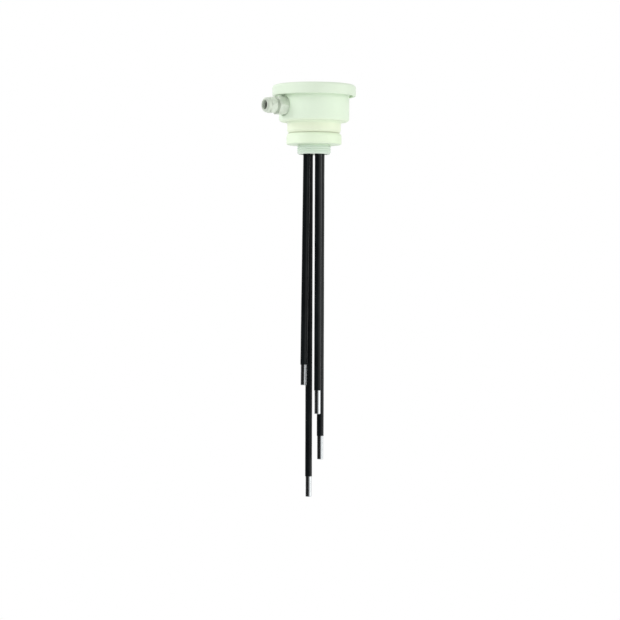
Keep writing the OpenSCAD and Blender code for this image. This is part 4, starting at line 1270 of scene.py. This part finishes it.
# Nodes whose own shape stays: each gets its finish and softly rounded edges, in millimetres
carriedOver = {
    "lid_seal": ("sealRubber", 0.15), "neck_seal": ("sealPale", 0.15), "rod_seals": ("sealRubber", 0),
    "holder_seal": ("sealRubber", 0.1), "rod_collars": ("rodSteel", 0.05),
    "lock_ring": ("lockRingPlastic", 0.2), "clamp_plate": ("platePlastic", 0.15),
    "clamp_screw": ("zincSteel", 0.05), "rod_washers": ("zincSteel", 0.08), "rod_nuts": ("zincSteel", 0.08),
    "circuit_board": ("boardGreen", 0.05), "contact_sockets": ("contactBrass", 0.08),
    "relay": ("relayPlastic", 0.3), "potentiometer": ("trimmerPlastic", 0.2),
    "sensitivity_knob": ("controlPlastic", 0.1), "mode_switch": ("switchPlastic", 0.2),
    "mode_slider": ("controlPlastic", 0.15), "terminal_block": ("terminalPlastic", 0.15),
    "terminal_screws": ("zincSteel", 0.06), "electronics_case": ("casePlastic", 0.2),
    "case_screws": ("zincSteel", 0.05), "indicator_lenses": ("lensGreen", 0.08),
    "gland_lock_nut": ("glandNickel", 0.1),
}
edgeValues = {"weldReach": 2e-6, "segments": 2, "leastAngle": 30}


def dressCarriedOver():
    v = Named(**edgeValues)
    for node, (material, edge) in carriedOver.items():
        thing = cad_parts[node]
        coat(thing, material)
        thing.data.shade_smooth()
        weld = thing.modifiers.new("join", "WELD")
        weld.merge_threshold = v.weldReach
        if edge:
            bevel = thing.modifiers.new("edges", "BEVEL")
            bevel.width = edge * mm
            bevel.segments = v.segments
            bevel.limit_method = "ANGLE"
            bevel.angle_limit = math.radians(v.leastAngle)
            bevel.harden_normals = True
            bevel.loop_slide = False  # else new points run far out along edges that graze a hole
        weighNormals(thing)


# Floor far below, and soft lamps on both sides and low in front
stageValues = {
    "floorDrop": 450 * mm,  # from the lowest tip to the floor
    "floorRadius": 8.0,
    "floorRings": 12,  # inside the first metre, and as many outside it
    "floorColumns": 96,
    "shadowReach": (0.15, 0.9),  # the floor's own shading fades out between these distances
    "shadowLow": 0.6,  # share of the floor's glow that is left nearest the middle
    "floorColour": (242, 243, 242),
    "floorRough": (0.55, 0.75),
    "floorGrain": 60.0,
    "roomAbove": 0.74,  # level of the room's light from above, and from below
    "roomBelow": 1.0,
    "roomReach": (-0.5, 0.5),  # heights of a direction between which the one becomes the other
    "darkSide": (-0.988, -0.156, 0.0),  # where the room is dim, as metal and gloss show it
    "darkLevel": 0.02,
    "darkReach": (0.17, 0.5),  # cosines off that direction between which the dimness sets in
    "lampAim": (0, 0, -0.06),
    "lamps": [
        # name, azimuth, elevation, distance, width, height, power in watts, colour, seen in gloss
        ("rightSoftbox", 50, 5, 1.5, 0.8, 1.4, 4.6, (1.0, 0.99, 0.94), True),
        ("leftSoftbox", -118, 26, 1.5, 0.8, 0.9, 9.5, (0.97, 0.95, 1.0), False),
        ("lowSoftbox", -31, -20, 1.5, 0.9, 0.4, 4.0, (1.0, 1.0, 1.0), False),
    ],
}


def dimSide(tree, direction):
    # Level of the room in a direction, by its cosine to the dark side's
    v = Named(**stageValues)
    facing = vectorMath(tree, "DOT_PRODUCT", direction, tuple(Vector(v.darkSide).normalized()))
    return rescale(tree, facing, v.darkReach, 1.0, v.darkLevel)


def anyRay(tree, path, first, *others):
    # 1 for rays of the named kinds and 0 for the rest
    seen = path[first]
    for kind in others:
        seen = mathNode(tree, "MAXIMUM", seen, path[kind])
    return seen


def makeStage():
    v = Named(**stageValues)
    floorHeight = cadBox[0].z - v.floorDrop
    rings = v.floorRings
    radius = np.concatenate([np.linspace(0, 1, rings), np.geomspace(1.2, v.floorRadius, rings)])
    profile = np.stack([radius, np.full_like(radius, floorHeight)], axis=-1)
    floor = meshObject("paleFloor", [turnedGrid(profile, v.floorColumns)])
    tree, shader, place = newMaterial("paleFloor")
    rough = rescale(tree, noiseNode(tree, place, v.floorGrain), effectValues["noiseReach"], *v.floorRough)
    feed(tree, shader, {"Base Color": linear(v.floorColour), "Roughness": rough})
    path = addNode(tree, "ShaderNodeLightPath").outputs
    # In gloss the floor is as dim on the dark side as the room above it
    flat = vectorMath(tree, "MULTIPLY", place, (1, 1, 0))
    dim = dimSide(tree, vectorMath(tree, "NORMALIZE", flat))
    shine = mixValues(tree, path["Is Glossy Ray"], 1.0, dim)
    glow = addNode(tree, "ShaderNodeEmission", None, {"Color": (1, 1, 1, 1), "Strength": shine})
    fade = rescale(tree, vectorMath(tree, "LENGTH", flat), v.shadowReach, v.shadowLow)
    seen = anyRay(tree, path, "Is Camera Ray", "Is Glossy Ray", "Is Transmission Ray")
    share = mathNode(tree, "MULTIPLY", seen, fade)
    mix = addNode(tree, "ShaderNodeMixShader", None, {0: share, 1: shader.outputs[0], 2: glow.outputs[0]})
    output = next(n for n in tree.nodes if n.type == "OUTPUT_MATERIAL")
    tree.links.new(mix.outputs[0], output.inputs["Surface"])
    floor.data.materials.append(materials["paleFloor"])


def makeWorld():
    v = Named(**stageValues)
    world = bpy.data.worlds.new("softStudio")
    bpy.context.scene.world = world
    world.use_nodes = True
    tree = world.node_tree
    tree.nodes.clear()
    direction = addNode(tree, "ShaderNodeTexCoord").outputs["Generated"]
    path = addNode(tree, "ShaderNodeLightPath").outputs
    split = addNode(tree, "ShaderNodeSeparateXYZ", None, {"Vector": direction})
    room = rescale(tree, split.outputs["Z"], v.roomReach, v.roomBelow, v.roomAbove)
    shine = mixValues(tree, path["Is Glossy Ray"], room, dimSide(tree, direction))
    seen = anyRay(tree, path, "Is Camera Ray", "Is Transmission Ray")
    background = addNode(tree, "ShaderNodeBackground", None, {
        "Color": (1, 1, 1, 1), "Strength": mixValues(tree, seen, shine, 1.0),
    })
    output = addNode(tree, "ShaderNodeOutputWorld")
    tree.links.new(background.outputs[0], output.inputs["Surface"])


def makeLamps():
    aim = Vector(stageValues["lampAim"])
    for name, azimuth, elevation, distance, width, height, power, colour, inGloss in stageValues["lamps"]:
        data = bpy.data.lights.new(name, "AREA")
        data.shape = "RECTANGLE"
        data.size, data.size_y = width, height
        data.energy, data.color = power, colour
        lamp = newObject(name, data)
        back = outwardAt(azimuth, elevation)
        lamp.location = aim + back * distance
        lamp.rotation_euler = (-back).to_track_quat("-Z", "Y").to_euler()
        lamp.visible_camera = False
        lamp.visible_glossy = inGloss


makeCamera()
makeStage()
makeWorld()
makeLamps()
bpy.context.scene.view_settings.view_transform = "Standard"
print("camera, floor and lamps placed")
makeLid()
makeHousing()
makeLidThreads()
print("lid and housing made")
makeRods()
print("rods and sleeves made")
makeConnector()
makeHolder()
print("connector and holder made")
makeGland()
print("gland made")
dressCarriedOver()
print("carried-over nodes finished:", len(carriedOver))
